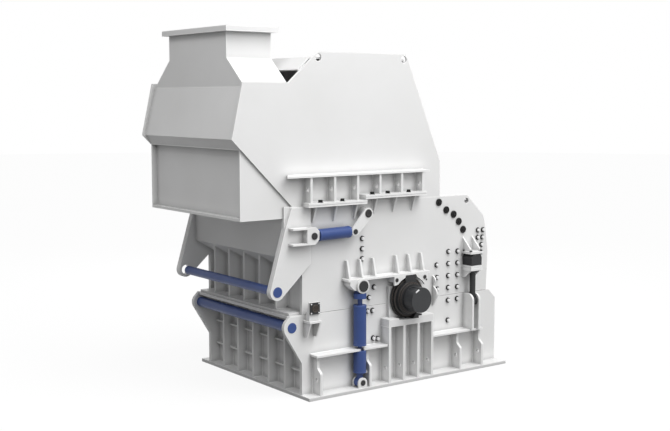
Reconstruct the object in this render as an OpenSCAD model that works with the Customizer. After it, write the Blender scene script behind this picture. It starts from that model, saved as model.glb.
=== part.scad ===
// Hammer crusher: welded plate housing in two storeys on a base frame, feed hood above,
// hammer rotor in side bearings, breaker plate set by two tilt cylinders.
// Row frame: X runs from the feed end (-X) to the discharge end, Y along the rotor shaft,
// Z up. The origin is the middle of the underside of the base frame.

/* [Base frame] */
// Length of the base frame
base_l = 3200; // [3000:10:3600]
// Width of the base frame
base_w = 2515; // [2450:5:2700]
// Thickness of the base plate
base_t = 40; // [25:1:60]
// Width of the base plate's rim in front of and behind the discharge opening
base_rim = 260; // [200:5:300]

/* [Housing] */
// Width over the outer faces of the two side walls
body_w = 2175; // [2000:5:2200]
// Thickness of the side walls
wall_t = 50; // [30:1:60]
// Thickness of the front and rear cross plates
cross_t = 25; // [15:1:40]
// Height of the split between the lower and the upper storey
split_z = 995; // [960:5:1010]
// Height of the upper storey's top edge
casing_z = 2280; // [2250:5:2320]
// Set-back of the front edge of the side walls from the base frame's end
front_setback = 15; // [5:1:40]
// Set-back of the rear edge of the side walls from the base frame's end
rear_setback = 50; // [20:1:80]
// Depth of the front and rear stiffening ribs
end_rib_d = 135; // [90:5:160]
// Thickness of the front and rear stiffening ribs
end_rib_t = 30; // [16:1:40]
// Spacing of the front and rear stiffening ribs
end_rib_pitch = 355; // [320:5:380]

/* [Rotor] */
// Distance of the rotor axis behind the middle of the base frame
rotor_x = -44; // [-80:1:0]
// Height of the rotor axis
rotor_z = 1060; // [1052:1:1075]
// Radius of the shaft inside the housing
shaft_r = 150; // [120:1:152]
// Radius of the shaft's free ends
shaft_end_r = 157; // [120:1:165]
// Radius of the rotor discs
disc_r = 620; // [500:5:680]
// Thickness of a rotor disc
disc_t = 70; // [40:1:90]
// Radius swept by the hammer tips
hammer_tip_r = 880; // [800:5:900]
// Clearance between a hammer and the discs beside it
hammer_gap = 35; // [20:1:70]
// Reach of the shaft's ends from the side walls
shaft_reach = 352; // [300:1:380]
// Running clearance round the shaft in its bearings
bearing_gap = 1; // [0.5:0.1:2]
// Clearance round the shaft in the side walls
wall_gap = 20; // [10:1:40]

/* [Breaker drive] */
// Distance of the breaker shaft behind the side walls' front edge
breaker_in = 877; // [865:1:885]
// Height of the breaker shaft
breaker_z = 2152; // [2140:1:2160]
// Radius of the breaker shaft
breaker_r = 49; // [35:1:52]
// Distance from the breaker shaft to the cylinder's pin on the lever
lever_l = 283; // [270:1:290]
// Direction of the lever at rest, in degrees from +X towards +Z
lever_a = 227; // [222:1:232]
// Distance of the tilt cylinder's fixed pin behind the side walls' front edge
tilt_pin_in = 92; // [80:1:105]
// Height of the tilt cylinder's fixed pin
tilt_pin_z = 1934; // [1925:1:1945]
// Radius of the tilt cylinder's barrel
tilt_r = 70; // [50:1:74]
// Radius of the tilt cylinder's rod
tilt_rod_r = 30; // [20:1:36]
// Running clearance of the rods and of the breaker shaft
rod_gap = 1; // [0.5:0.1:2]
// Clearance between moving faces
move_gap = 5; // [5:0.5:8]

/* [Hood] */
// Height of the hood's top edge above the upper storey
hood_h = 1775; // [1670:5:1920]
// Thickness of the hood's side plates
hood_side_t = 26; // [12:1:32]
// Thickness of the hood's other plates
hood_t = 20; // [12:1:30]
// Length of the feed neck
neck_l = 600; // [500:5:620]
// Width of the feed neck
neck_w = 1355; // [1200:5:1400]
// Height of the feed neck's top face above the hood's top edge
neck_rise = 280; // [195:5:395]
// Thickness of the feed flange
feed_flange_t = 62; // [30:1:70]
// Overhang of the feed flange in front of and behind the neck
feed_flange_x = 52; // [40:1:60]
// Overhang of the feed flange beside the neck
feed_flange_y = 88; // [60:1:120]

/* [Side fittings] */
// Reach of the lower side ribs from the wall
rib_reach = 165; // [140:1:168]
// Thickness of the lower side ribs
rib_t = 34; // [16:1:40]
// Reach of the hood frame from the wall
frame_reach = 140; // [120:1:160]
// Reach of the bearing shelf from the wall
shelf_reach = 137; // [120:1:150]
// Outer radius of the bearing's rear ring
bearing_r = 258; // [240:1:262]
// Radius of the lift cylinder's barrel
lift_r = 78; // [70:1:86]
// Distance of the lift cylinder behind the side walls' front edge
lift_in = 785; // [765:1:805]
// Distance of the adjuster's screw ahead of the side walls' rear edge
screw_in = 513; // [505:1:530]
// Radius of the adjuster's screw
screw_r = 38; // [20:1:42]
// Radius of the tie bars' end discs
bar_disc_r = 61; // [58:1:75]

/* [Hidden] */
$fn = 64;

// Colours of the finishes
white = [0.93, 0.93, 0.92];
blue = [0.10, 0.20, 0.55];
black = [0.07, 0.07, 0.08];
steel = [0.45, 0.45, 0.46];

// Positions that follow from the driving sizes
wall_face = body_w / 2;
inner_face = wall_face - wall_t;
front_x = -base_l / 2 + front_setback;
rear_x = base_l / 2 - rear_setback;
breaker_x = front_x + breaker_in;
tilt_pin_x = front_x + tilt_pin_in;
lift_x = front_x + lift_in;
screw_x = rear_x - screw_in;
hood_z = casing_z + hood_h;
neck_z = hood_z + neck_rise;
front_plate_x = front_x + end_rib_d;
rear_plate_x = rear_x - end_rib_d;
casing_front_x = front_x - 246;
recess_x = front_x - 206;
box_x = front_x - 815;
box_z = casing_z - 135;
shell_half = wall_face - hood_side_t;
edge_t = 1;
fit_gap = 0.3;

// Heights and ends of the side shelves
shelf_t = 25;
left_shelf_z = split_z - 475;
right_shelf_z = split_z - 457;
pedestal_top_z = rotor_z - bearing_r - 2;
shelf_z = rotor_z + bearing_r + 54;
shelf_x0 = lift_x - 204;
shelf_x1 = rotor_x + bearing_r + 60;

// Lift cylinder and its two pins
lift_out = lift_r + 13;
lift_core_r = 26;
lift_pin_r = 66;
lift_shank_r = 38;
lift_top_z = shelf_z - 89;
lift_foot_z = 102;
lift_foot_pin_r = 34;
lift_eye_half = 40;
lug_t = 26;
lift_lug_y = lift_out + lift_eye_half + 6;

// Tilt cylinder: widths are distances out from the side wall
doubler_t = 30;
clevis_t = 22;
eye_w = 52;
clevis_y0 = doubler_t;
eye_y0 = clevis_y0 + clevis_t + fit_gap;
clevis_y1 = eye_y0 + eye_w + fit_gap;
tilt_out = eye_y0 + eye_w / 2;
tilt_eye_r = 50;
tilt_eye_pin_r = 30;
tilt_head_r = 40;

// Points of an arc in a plane, both ends included
function arc(c, r, a0, a1, n = 10) =
    [for (i = [0:n]) let (a = a0 + (a1 - a0) * i / n) c + r * [cos(a), sin(a)]];

// Outline of a link that joins two eyes: external tangents closed by the eyes' arcs
function link_outline(c1, r1, c2, r2) =
    let (d = c2 - c1, l = norm(d), a = atan2(d[1], d[0]), b = acos((r1 - r2) / l))
    concat(arc(c1, r1, a + b, a + 360 - b, 24), arc(c2, r2, a - b, a + b, 24));

// Plate parallel to the side walls: outline in X and Z, from y to y + t
module xz_plate(outline, y, t) {
    translate([0, y + t, 0]) rotate([90, 0, 0]) linear_extrude(t) polygon(outline);
}

// Plate across X: outline in Y and Z, from x to x + t
module yz_plate(outline, x, t) {
    translate([x, 0, 0]) rotate([90, 0, 90]) linear_extrude(t) polygon(outline);
}

// Horizontal plate: outline in X and Y, from z to z + t
module xy_plate(outline, z, t) {
    translate([0, 0, z]) linear_extrude(t) polygon(outline);
}

// Box from its low corner to its high corner
module block(low, high) {
    translate(low) cube(high - low);
}

// Round bar along Y
module bar_y(x, z, r, y0, y1) {
    translate([x, y1, z]) rotate([90, 0, 0]) cylinder(r = r, h = y1 - y0);
}

// Round bar along X
module bar_x(y, z, r, x0, x1) {
    translate([x0, y, z]) rotate([0, 90, 0]) cylinder(r = r, h = x1 - x0);
}

// Side fittings are drawn with Y as the distance out from the wall's outer face
module on_right() {
    translate([0, -wall_face, 0]) mirror([0, 1, 0]) children();
}

module on_left() {
    translate([0, wall_face, 0]) children();
}

// ---------------------------------------------------------------- base frame
module base_frame() {
    opening_half = inner_face - 55;
    color(white) difference() {
        block([-base_l / 2, -base_w / 2, 0], [base_l / 2, base_w / 2, base_t]);
        block([-base_l / 2 + base_rim, -opening_half, -edge_t],
              [base_l / 2 - base_rim, opening_half, base_t + edge_t]);
    }
}

// ---------------------------------------------------------------- side walls
lower_pivot = [front_x - 141, split_z - 133];
lower_lug_r = 112;
rear_chamfer = 115;
lug_pivot = [front_x - 358, split_z + 313];
lug_r = 97;

// Lower wall: front lug with a chamfered top, straight foot, chamfered rear corner
function lower_outline() =
    let (a = 211.6, t = lower_pivot + lower_lug_r * [cos(a), sin(a)],
         c = lower_pivot + lower_lug_r * [cos(135), sin(135)])
    concat([[front_x, base_t], [rear_x, base_t], [rear_x, split_z - rear_chamfer],
            [rear_x - rear_chamfer, split_z], [c[0] + split_z - c[1], split_z]],
           arc(lower_pivot, lower_lug_r, 135, a, 8),
           [[front_x, t[1] - (front_x - t[0]) * tan(58.4)]]);

// Lug that leans forward: its lower edge and its rounded nose
function lug_nose() =
    concat([lug_pivot + lug_r * [cos(-48.5), sin(-48.5)]], arc(lug_pivot, lug_r, -48.5, -192, 14));

// Rear edge of the upper wall, from the split up to the foot of its roof
upper_rear_edge = [[rear_x - 170, split_z], [rear_x - 148, split_z + 531], [rear_x - 206, casing_z - 378],
                   [rear_x - 236, casing_z - 284]];

// Upper wall: lug in front, straight top, rear edge that leans in twice
function upper_outline() =
    let (s = lug_pivot + lug_r * [cos(-48.5), sin(-48.5)])
    concat([[front_x + 5, split_z], [front_x + 5, s[1] + (front_x + 5 - s[0]) * tan(41.5)]],
           lug_nose(),
           [[casing_front_x, casing_z - 250], [casing_front_x, casing_z], [rear_x - 570, casing_z]],
           arc([rear_x - 550, casing_z - 55], 55, 80, 45, 4),
           [for (i = [3:-1:0]) upper_rear_edge[i]]);

module wall_plate(outline) {
    xz_plate(outline, -wall_t, wall_t);
}

module shaft_hole() {
    bar_y(rotor_x, rotor_z, shaft_r + wall_gap, -wall_t - edge_t, edge_t);
}

module lower_wall() {
    difference() {
        wall_plate(lower_outline());
        shaft_hole();
        bar_y(lower_pivot[0], lower_pivot[1], bar_disc_r + fit_gap, -wall_t - edge_t, edge_t);
    }
}

module upper_wall() {
    groove = 8;
    difference() {
        wall_plate(upper_outline());
        shaft_hole();
        bar_y(lug_pivot[0], lug_pivot[1], bar_disc_r + fit_gap, -wall_t - edge_t, edge_t);
        bar_y(breaker_x, breaker_z, breaker_r + rod_gap, -wall_t - edge_t, edge_t);
        bar_y(rear_x - 538, casing_z - 77, 36, -wall_t - edge_t, edge_t);
        block([front_x - edge_t, -groove, split_z - edge_t], [rear_x, edge_t, split_z + groove]);
    }
}

module right_lower_wall() { color(white) on_right() lower_wall(); }
module left_lower_wall() { color(white) on_left() lower_wall(); }
module right_upper_wall() { color(white) on_right() upper_wall(); }
module left_upper_wall() { color(white) on_left() upper_wall(); }

// ---------------------------------------------------------------- cross walls
end_rib_ys = [for (i = [-2:2]) i * end_rib_pitch];
ledge_t = 35;
ledge_x = front_x - 170;
stiffener_t = 20;
stiffener_d = 50;
stiffener_zs = [0.28 * split_z, 0.583 * split_z];

module lower_front_wall() {
    color(white) {
        block([front_plate_x, -inner_face, base_t], [front_plate_x + cross_t, inner_face, split_z - ledge_t]);
        block([ledge_x, -inner_face, split_z - ledge_t], [front_plate_x + cross_t, inner_face, split_z]);
        for (z = stiffener_zs)
            block([front_plate_x - stiffener_d, -inner_face, z],
                  [front_plate_x, inner_face, z + stiffener_t]);
    }
}

module lower_rear_wall() {
    top = split_z - ledge_t;
    color(white) {
        block([rear_plate_x - cross_t, -inner_face, base_t], [rear_plate_x, inner_face, top]);
        block([rear_plate_x - cross_t - 60, -inner_face, top], [rear_x - rear_chamfer, inner_face, split_z]);
    }
}

// Upper front wall: the front plate ends in a slope that leads back to the wall between the ribs
upper_flange_t = 30;
upper_foot_z = split_z + upper_flange_t;
upper_plate_x = front_x + 55;
upper_rib_x = front_x - 120;
slope_top_z = split_z + 687;
slope_end_z = slope_top_z - 155;
slope_rise = (slope_top_z - slope_end_z) / (upper_plate_x - recess_x);

module upper_front_wall() {
    color(white) {
        block([upper_rib_x - 25, -inner_face, split_z], [upper_plate_x + cross_t, inner_face, upper_foot_z]);
        block([upper_plate_x, -inner_face, upper_foot_z], [upper_plate_x + cross_t, inner_face, slope_end_z]);
        xz_plate([[recess_x, slope_top_z], [upper_plate_x, slope_end_z], [upper_plate_x + cross_t, slope_end_z],
                  [recess_x + cross_t, slope_top_z]],
                 -inner_face, 2 * inner_face);
        block([recess_x, -inner_face, slope_top_z], [recess_x + cross_t, inner_face, box_z]);
    }
}

// Lower front rib, notched where the stiffeners run through it
module lower_front_rib(y) {
    difference() {
        block([front_x, y - end_rib_t / 2, base_t], [front_plate_x, y + end_rib_t / 2, split_z - ledge_t]);
        for (z = stiffener_zs)
            block([front_plate_x - stiffener_d - fit_gap, y - end_rib_t, z - fit_gap],
                  [front_plate_x + edge_t, y + end_rib_t, z + stiffener_t + fit_gap]);
    }
}

// Upper front rib from the flange up to the slope, with a cut corner at the foot of the wall
module upper_front_rib(y) {
    scallop_r = 38;
    xz_plate(concat([[upper_rib_x, upper_foot_z]],
                    arc([upper_plate_x, upper_foot_z], scallop_r, 180, 90, 6),
                    [[upper_plate_x, slope_end_z],
                     [upper_rib_x, slope_end_z + slope_rise * (upper_plate_x - upper_rib_x)]]),
             y - end_rib_t / 2, end_rib_t);
}

module lower_rear_rib(y) {
    top = split_z - ledge_t;
    xz_plate([[rear_plate_x, base_t], [rear_x, base_t], [rear_x, split_z - rear_chamfer - 60],
              [rear_x - rear_chamfer + 20, top], [rear_plate_x, top]],
             y - end_rib_t / 2, end_rib_t);
}

module end_ribs() {
    color(white) for (y = end_rib_ys) {
        lower_front_rib(y);
        upper_front_rib(y);
        lower_rear_rib(y);
    }
}

// Plate that follows the side walls' rear edges, set in from them
module upper_rear_wall() {
    inset = 30;
    roof_z = casing_z - 45;
    roof_x0 = hood_back_x - 10;
    outer = concat([for (p = upper_rear_edge) p - [inset, 0]], [[rear_x - 540, roof_z], [roof_x0, roof_z]]);
    inner = concat([[roof_x0, roof_z - cross_t], [rear_x - 550, roof_z - cross_t]],
                   [for (i = [3:-1:0]) upper_rear_edge[i] - [inset + cross_t, i < 2 ? 0 : 4]]);
    color(white) {
        xz_plate(concat(outer, inner), -inner_face, 2 * inner_face);
        block([roof_x0, -inner_face, roof_z], [roof_x0 + cross_t, inner_face, casing_z]);
    }
}

// ---------------------------------------------------------------- lower side ribs, shelves and pedestal
side_shelf_reach = 146;
pedestal_pitch = 229;
pedestal_low = rotor_x - 1.5 * pedestal_pitch - rib_t / 2;
pedestal_high = rotor_x + 1.5 * pedestal_pitch + rib_t / 2;
pedestal_plate_t = 68;
pedestal_plate_z = pedestal_top_z - pedestal_plate_t;
cheek_h = 27;
rib_hole_r = 26;
rib_hole_z = 220;
gusset_t = 24;
shelf_gusset = [104, 50, 220];
yoke_gusset = [147, 35, 184];
seat_gusset = [160, 58, 92];
screw_gusset_t = 22;
screw_gusset_pitch = 160;

// The pedestal's cheeks stop short of the bearing's rear ring
cheek_in = sqrt(pow(bearing_r + 1, 2) - pow(rotor_z - pedestal_top_z - cheek_h, 2)) + 1;

// Curved rib: full reach at the foot, drawn in by an S-bend towards the shelf above it
function curved_rib(top) =
    concat([[0, base_t], [rib_reach, base_t], [rib_reach, top - 205]],
           arc([rib_reach - 32, top - 205], 32, 0, 60, 4),
           arc([rib_reach - 32, top - 123], 32, 240, 180, 4),
           [[rib_reach - 64, top], [0, top]]);

// Rib across X: outline in distance out and height, with a round hole near its foot
module side_rib(outline, x) {
    difference() {
        yz_plate(outline, x - rib_t / 2, rib_t);
        bar_x(90, rib_hole_z, rib_hole_r, x - rib_t, x + rib_t);
    }
}

module side_rib_row() {
    for (x = [front_x + 163, lift_x + lift_r + 33]) side_rib(curved_rib(left_shelf_z - shelf_t), x);
    for (x = [rear_x - 762, rear_x - 376]) side_rib(curved_rib(right_shelf_z - shelf_t), x);
    for (i = [-1.5:1.5])
        side_rib([[0, base_t], [rib_reach, base_t], [rib_reach, pedestal_plate_z], [0, pedestal_plate_z]],
                 rotor_x + i * pedestal_pitch);
    for (x = [shelf_x0 + 47, shelf_x0 + 242, shelf_x0 + 443, rotor_x - 155, rotor_x + 47, shelf_x1 - 66])
        yz_plate([[0, shelf_z], [shelf_gusset[0], shelf_z], [shelf_gusset[1], shelf_z + shelf_gusset[2]],
                  [0, shelf_z + shelf_gusset[2]]],
                 x - gusset_t / 2, gusset_t);
    for (side = [-1, 1]) {
        x = screw_x + side * screw_gusset_pitch / 2 - screw_gusset_t / 2;
        yz_plate([[0, yoke_z1], [yoke_gusset[0], yoke_z1], [yoke_gusset[0], yoke_z1 + yoke_gusset[1]],
                  [0, yoke_z1 + yoke_gusset[2]]],
                 x, screw_gusset_t);
        yz_plate([[0, seat_z0], [0, seat_z0 - seat_gusset[2]], [seat_gusset[1], seat_z0 - seat_gusset[2]],
                  [seat_gusset[0], seat_z0]],
                 x, screw_gusset_t);
    }
}

// The shelf at the feed end has a slot for the lift cylinder's core
module side_shelf_row() {
    difference() {
        block([front_x + 113, 0, left_shelf_z - shelf_t],
              [pedestal_low, side_shelf_reach, left_shelf_z]);
        translate([lift_x, lift_out, left_shelf_z - shelf_t - edge_t])
            cylinder(r = lift_core_r + fit_gap, h = shelf_t + 2 * edge_t);
        block([lift_x - lift_core_r - fit_gap, lift_out, left_shelf_z - shelf_t - edge_t],
              [lift_x + lift_core_r + fit_gap, side_shelf_reach + edge_t, left_shelf_z + edge_t]);
    }
    block([pedestal_high, 0, right_shelf_z - shelf_t],
          [rear_x - 357, side_shelf_reach, right_shelf_z]);
    block([pedestal_low, 0, pedestal_plate_z], [pedestal_high, rib_reach, pedestal_top_z]);
    for (ends = [[pedestal_low, rotor_x - cheek_in - 89], [rotor_x + cheek_in, pedestal_high]])
        block([ends[0], 0, pedestal_top_z], [ends[1], rib_reach, pedestal_top_z + cheek_h]);
    lift_foot();
}

module side_ribs() { color(white) { on_right() side_rib_row(); on_left() side_rib_row(); } }
module side_shelves() { color(white) { on_right() side_shelf_row(); on_left() side_shelf_row(); } }

// ---------------------------------------------------------------- lift cylinder
// White lugs on the base plate that hold the lift cylinder's lower pin
module lift_foot() {
    r = 62;
    for (y = [lift_out - lift_eye_half - fit_gap - lug_t, lift_out + lift_eye_half + fit_gap])
        difference() {
            xz_plate(concat([[lift_x - r, base_t], [lift_x + r, base_t]],
                            arc([lift_x, lift_foot_z], r, 0, 180, 16)),
                     y, lug_t);
            bar_y(lift_x, lift_foot_z, lift_foot_pin_r + fit_gap, y - edge_t, y + lug_t + edge_t);
        }
}

// White lugs at the bearing shelf that hold the lift cylinder's upper pin
module lift_head() {
    r = 88;
    top = shelf_z - shelf_t;
    difference() {
        union() {
            xz_plate(concat([[lift_x + r, top], [lift_x - r, top]], arc([lift_x, lift_top_z], r, 180, 360, 20)),
                     lift_out - lift_eye_half - fit_gap - lug_t, lug_t);
            bar_y(lift_x, lift_top_z, r, lift_lug_y, lift_lug_y + lug_t);
        }
        bar_y(lift_x, lift_top_z, lift_shank_r + fit_gap, -edge_t, lift_lug_y + lug_t + edge_t);
    }
    xz_plate([[lift_x - 178, top], [lift_x - 178, top - 47], [lift_x - 108, top - 111],
              [lift_x - r - 2, top - 111], [lift_x - r - 2, top]], 0, lift_lug_y);
    block([lift_x - r - 2, lift_lug_y - 22, top - 111], [lift_x - r + 24, lift_lug_y, top]);
}

module lift_cylinder() {
    head_z = lift_top_z - 91;
    neck_z0 = lift_top_z - 155;
    barrel_z1 = lift_top_z - 234;
    barrel_z0 = left_shelf_z + 32;
    lower_z0 = lift_foot_z + 118;
    eye_r = 60;
    translate([lift_x, lift_out, 0]) {
        translate([0, 0, barrel_z0]) cylinder(r = lift_r, h = barrel_z1 - barrel_z0);
        translate([0, 0, barrel_z1]) cylinder(r = 30, h = neck_z0 - barrel_z1);
        translate([0, 0, left_shelf_z - shelf_t - 1]) cylinder(r = lift_core_r, h = barrel_z0 - left_shelf_z + shelf_t + 2);
        translate([0, 0, lower_z0]) cylinder(r = lift_r, h = left_shelf_z - shelf_t - fit_gap - lower_z0);
        translate([0, 0, lift_foot_z]) cylinder(r = lift_eye_half - edge_t, h = lower_z0 - lift_foot_z);
        translate([0, 0, neck_z0]) cylinder(r = lift_r, h = head_z - neck_z0);
        translate([-50, -lift_eye_half, head_z - edge_t]) cube([100, 2 * lift_eye_half, lift_top_z - head_z]);
    }
    bar_y(lift_x, lift_top_z, eye_r, lift_out - lift_eye_half, lift_out + lift_eye_half);
    bar_y(lift_x, lift_foot_z, eye_r, lift_out - lift_eye_half, lift_out + lift_eye_half);
}

module lift_cylinder_bored() {
    difference() {
        lift_cylinder();
        bar_y(lift_x, lift_top_z, lift_shank_r + fit_gap, 0, lift_lug_y + lug_t);
        bar_y(lift_x, lift_foot_z, lift_foot_pin_r + fit_gap, 0, lift_lug_y + lug_t);
    }
}

// Fixed pins on one side: both lift cylinder pins and the tilt cylinder's fixed pin
module pins() {
    lug_y1 = lift_lug_y + lug_t;
    foot_y0 = lift_out - lift_eye_half - fit_gap - lug_t;
    bar_y(lift_x, lift_top_z, lift_shank_r, foot_y0, lug_y1);
    bar_y(lift_x, lift_top_z, lift_pin_r, lug_y1 + fit_gap, lug_y1 + 10);
    bar_y(lift_x, lift_top_z, lift_shank_r, lug_y1 - edge_t, lug_y1 + 2);
    bar_y(lift_x, lift_foot_z, lift_foot_pin_r, foot_y0, lift_out + lift_eye_half + fit_gap + lug_t + 6);
    bar_y(tilt_pin_x, tilt_pin_z, tilt_eye_pin_r, clevis_y0 + fit_gap, clevis_y1 + clevis_t);
    bar_y(tilt_pin_x, tilt_pin_z, tilt_head_r, clevis_y1 + clevis_t + fit_gap, clevis_y1 + clevis_t + 9);
    bar_y(tilt_pin_x, tilt_pin_z, tilt_eye_pin_r, clevis_y1 + clevis_t - edge_t, clevis_y1 + clevis_t + 2);
}

module fixed_pins() { color(black) { on_right() pins(); on_left() pins(); } }
module right_lift_cylinder() { color(blue) on_right() lift_cylinder_bored(); }
module left_lift_cylinder() { color(blue) on_left() lift_cylinder_bored(); }

// ---------------------------------------------------------------- bearing shelf
ear_y = shelf_reach - 22;
ear_t = 25;
ear_r = bearing_r + 14;
spigot_r = bearing_r - 40;

// Ear that hangs from the shelf in front of the bearing's cap, cut round the bearing's rings
module bearing_ear(x0, x1, a0, a1, low_out, low_a) {
    centre = [rotor_x, rotor_z];
    under = shelf_z - shelf_t;
    xz_plate(concat([[rotor_x + x0, under], [rotor_x + x1, under]], arc(centre, ear_r, a0, a1, 6),
                    arc(centre, ear_r + low_out, low_a, low_a, 1)),
             ear_y, ear_t);
}

module bearing_shelf() {
    back_t = 45;
    lug_x = rotor_x + 476;
    web_t = 30;
    block([shelf_x0, 0, shelf_z - shelf_t], [shelf_x1, shelf_reach, shelf_z]);
    bearing_ear(-bearing_r - 2, -80, 108, 137, 36, 145.6);
    bearing_ear(bearing_r + 19, 91, 67, 33, 74, 36.4);
    for (x = [rotor_x - bearing_r, rotor_x + bearing_r + 19 - web_t])
        block([x, 0, rotor_z + bearing_r - 43], [x + web_t, ear_y, shelf_z - shelf_t]);
    // Back block between the wall and the bearing
    difference() {
        block([rotor_x - bearing_r - 6, 0, pedestal_top_z + cheek_h],
              [rotor_x + bearing_r + 6, back_t, rotor_z + 155]);
        bar_y(rotor_x, rotor_z, spigot_r + fit_gap, -edge_t, back_t + edge_t);
    }
    // Two-lobed plate across the split behind the bearing
    yz_plate(concat([[0, rotor_z - 160], [28, rotor_z - 158]], arc([6, rotor_z - 14], 86, -40, 50, 8),
                    [[12, rotor_z + 88]], arc([4, rotor_z + 155], 53, -50, 70, 8), [[0, rotor_z + 217]]),
             lug_x, 22);
    lift_head();
}

module right_bearing_shelf() { color(white) on_right() bearing_shelf(); }
module left_bearing_shelf() { color(white) on_left() bearing_shelf(); }

// ---------------------------------------------------------------- bearing
module bearing() {
    top = shelf_z - shelf_t - fit_gap;
    cap = [[rotor_x - 76, top], [rotor_x - 76, rotor_z + 130], [rotor_x + 20, rotor_z + 20],
           [rotor_x + 142, rotor_z + 32], [rotor_x + 192, rotor_z + 105], [rotor_x + 88, rotor_z + 220],
           [rotor_x + 88, top]];
    wedge = [[rotor_x + 20, pedestal_top_z], [rotor_x + 60, rotor_z - 205], [rotor_x + 165, rotor_z - 214],
             [rotor_x + 165, pedestal_top_z + cheek_h], [rotor_x + cheek_in - fit_gap, pedestal_top_z + cheek_h],
             [rotor_x + cheek_in - fit_gap, pedestal_top_z]];
    difference() {
        union() {
            bar_y(rotor_x, rotor_z, spigot_r, 0, 50);
            bar_y(rotor_x, rotor_z, bearing_r - 26, 46, 52);
            bar_y(rotor_x, rotor_z, bearing_r, 52, 76);
            bar_y(rotor_x, rotor_z, bearing_r - 34, 76, 92);
            bar_y(rotor_x, rotor_z, bearing_r - 20, 92, 112);
            bar_y(rotor_x, rotor_z, shaft_r + 58, 112, 146);
            bar_y(rotor_x, rotor_z, shaft_r + 40, 146, 170);
            bar_y(rotor_x, rotor_z, shaft_r + 28, 170, 184);
            xz_plate(cap, 60, 52);
            block([rotor_x - 76, 100, rotor_z + 160], [rotor_x + 88, 135, top]);
            xz_plate(wedge, 60, 106);
        }
        bar_y(rotor_x, rotor_z, shaft_r + bearing_gap, -edge_t, 200);
    }
}

module right_bearing() { color(black) on_right() bearing(); }
module left_bearing() { color(black) on_left() bearing(); }

// ---------------------------------------------------------------- lug plates and tilt brackets
function clevis_outline() =
    let (x0 = tilt_pin_x - 76, x1 = tilt_pin_x + 72, z0 = tilt_pin_z - 100, z1 = tilt_pin_z + 103, c = 48)
    [[x0, z0], [x1 - c - 10, z0], [x1, z0 + c + 10], [x1, z1 - c], [x1 - c, z1], [x0, z1]];

module lug_plate() {
    bracket_x0 = tilt_pin_x - 295;
    bracket_x1 = tilt_pin_x - 76;
    difference() {
        xz_plate(concat([[front_x + 105, split_z + 606]], lug_nose(),
                        [[casing_front_x, casing_z - 250], [front_x - 157, casing_z - 14],
                         [front_x + 105, casing_z - 14]]),
                 0, doubler_t);
        bar_y(lug_pivot[0], lug_pivot[1], bar_disc_r + fit_gap, -edge_t, doubler_t + edge_t);
    }
    for (z = [tilt_pin_z - 100, tilt_pin_z + 103 - clevis_t])
        block([bracket_x0, doubler_t, z], [bracket_x1, clevis_y1 + clevis_t, z + clevis_t]);
    block([bracket_x1 - clevis_t, doubler_t, tilt_pin_z - 100 + clevis_t],
          [bracket_x1, clevis_y1 + clevis_t, tilt_pin_z + 103 - clevis_t]);
    for (y = [clevis_y0, clevis_y1])
        difference() {
            xz_plate(clevis_outline(), y, clevis_t);
            bar_y(tilt_pin_x, tilt_pin_z, tilt_eye_pin_r + fit_gap, y - edge_t, y + clevis_t + edge_t);
        }
}

module right_lug_plate() { color(white) on_right() lug_plate(); }
module left_lug_plate() { color(white) on_left() lug_plate(); }

// ---------------------------------------------------------------- tie bars
upper_bar_r = 54;
lower_bar_r = 65;

// Upper bar: welded to a disc in the right lug, its left end stops short of the left lug
module upper_bar() {
    color(blue) {
        bar_y(lug_pivot[0], lug_pivot[1], upper_bar_r, -wall_face, inner_face - 60);
        bar_y(lug_pivot[0], lug_pivot[1], bar_disc_r, -wall_face - doubler_t - 4, -inner_face);
    }
}

module lower_bar() {
    color(blue) {
        bar_y(lower_pivot[0], lower_pivot[1], lower_bar_r, -inner_face, inner_face);
        for (side = [-1, 1])
            bar_y(lower_pivot[0], lower_pivot[1], bar_disc_r,
                  min(side * inner_face, side * (wall_face + 4)), max(side * inner_face, side * (wall_face + 4)));
    }
}

// ---------------------------------------------------------------- hood
hood_back_x = rear_x - 1000;
hood_bend = [hood_back_x - 4, hood_z - 1324];
hood_crease_z = hood_z - 993;
neck_x0 = front_x - 745;
shoulder_foot_z = hood_z - 355;
notch_x = neck_x0 + neck_l - 28;
gable_foot_z = shoulder_foot_z - 50;
box_lip = 66;
box_floor_t = 32;

// Hood side plate: feed end on the left, notch behind the neck, sloping rear edge
function hood_outline() =
    let (r = 50, rise = hood_z - shoulder_foot_z, run = rise + 47, a = atan2(rise, run))
    concat([[front_x - 135, casing_z], [front_x - 930, hood_crease_z], [front_x - 786, shoulder_foot_z],
            [notch_x, shoulder_foot_z]],
           arc([notch_x + run + r * tan(a / 2), hood_z - r], r, 90 + a, 90, 3),
           arc([rear_x - 1620, hood_z - 75], 75, 90, 23, 6),
           [hood_bend, [hood_back_x, casing_z]]);

module hood_wall() {
    difference() {
        xz_plate(hood_outline(), -hood_side_t, hood_side_t);
        for (x = [front_x + 242, rear_x - 1608])
            bar_y(x, hood_z - 65, 44, -hood_side_t - edge_t, edge_t);
    }
}

module right_hood_wall() { color(white) on_right() hood_wall(); }
module left_hood_wall() { color(white) on_left() hood_wall(); }

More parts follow.
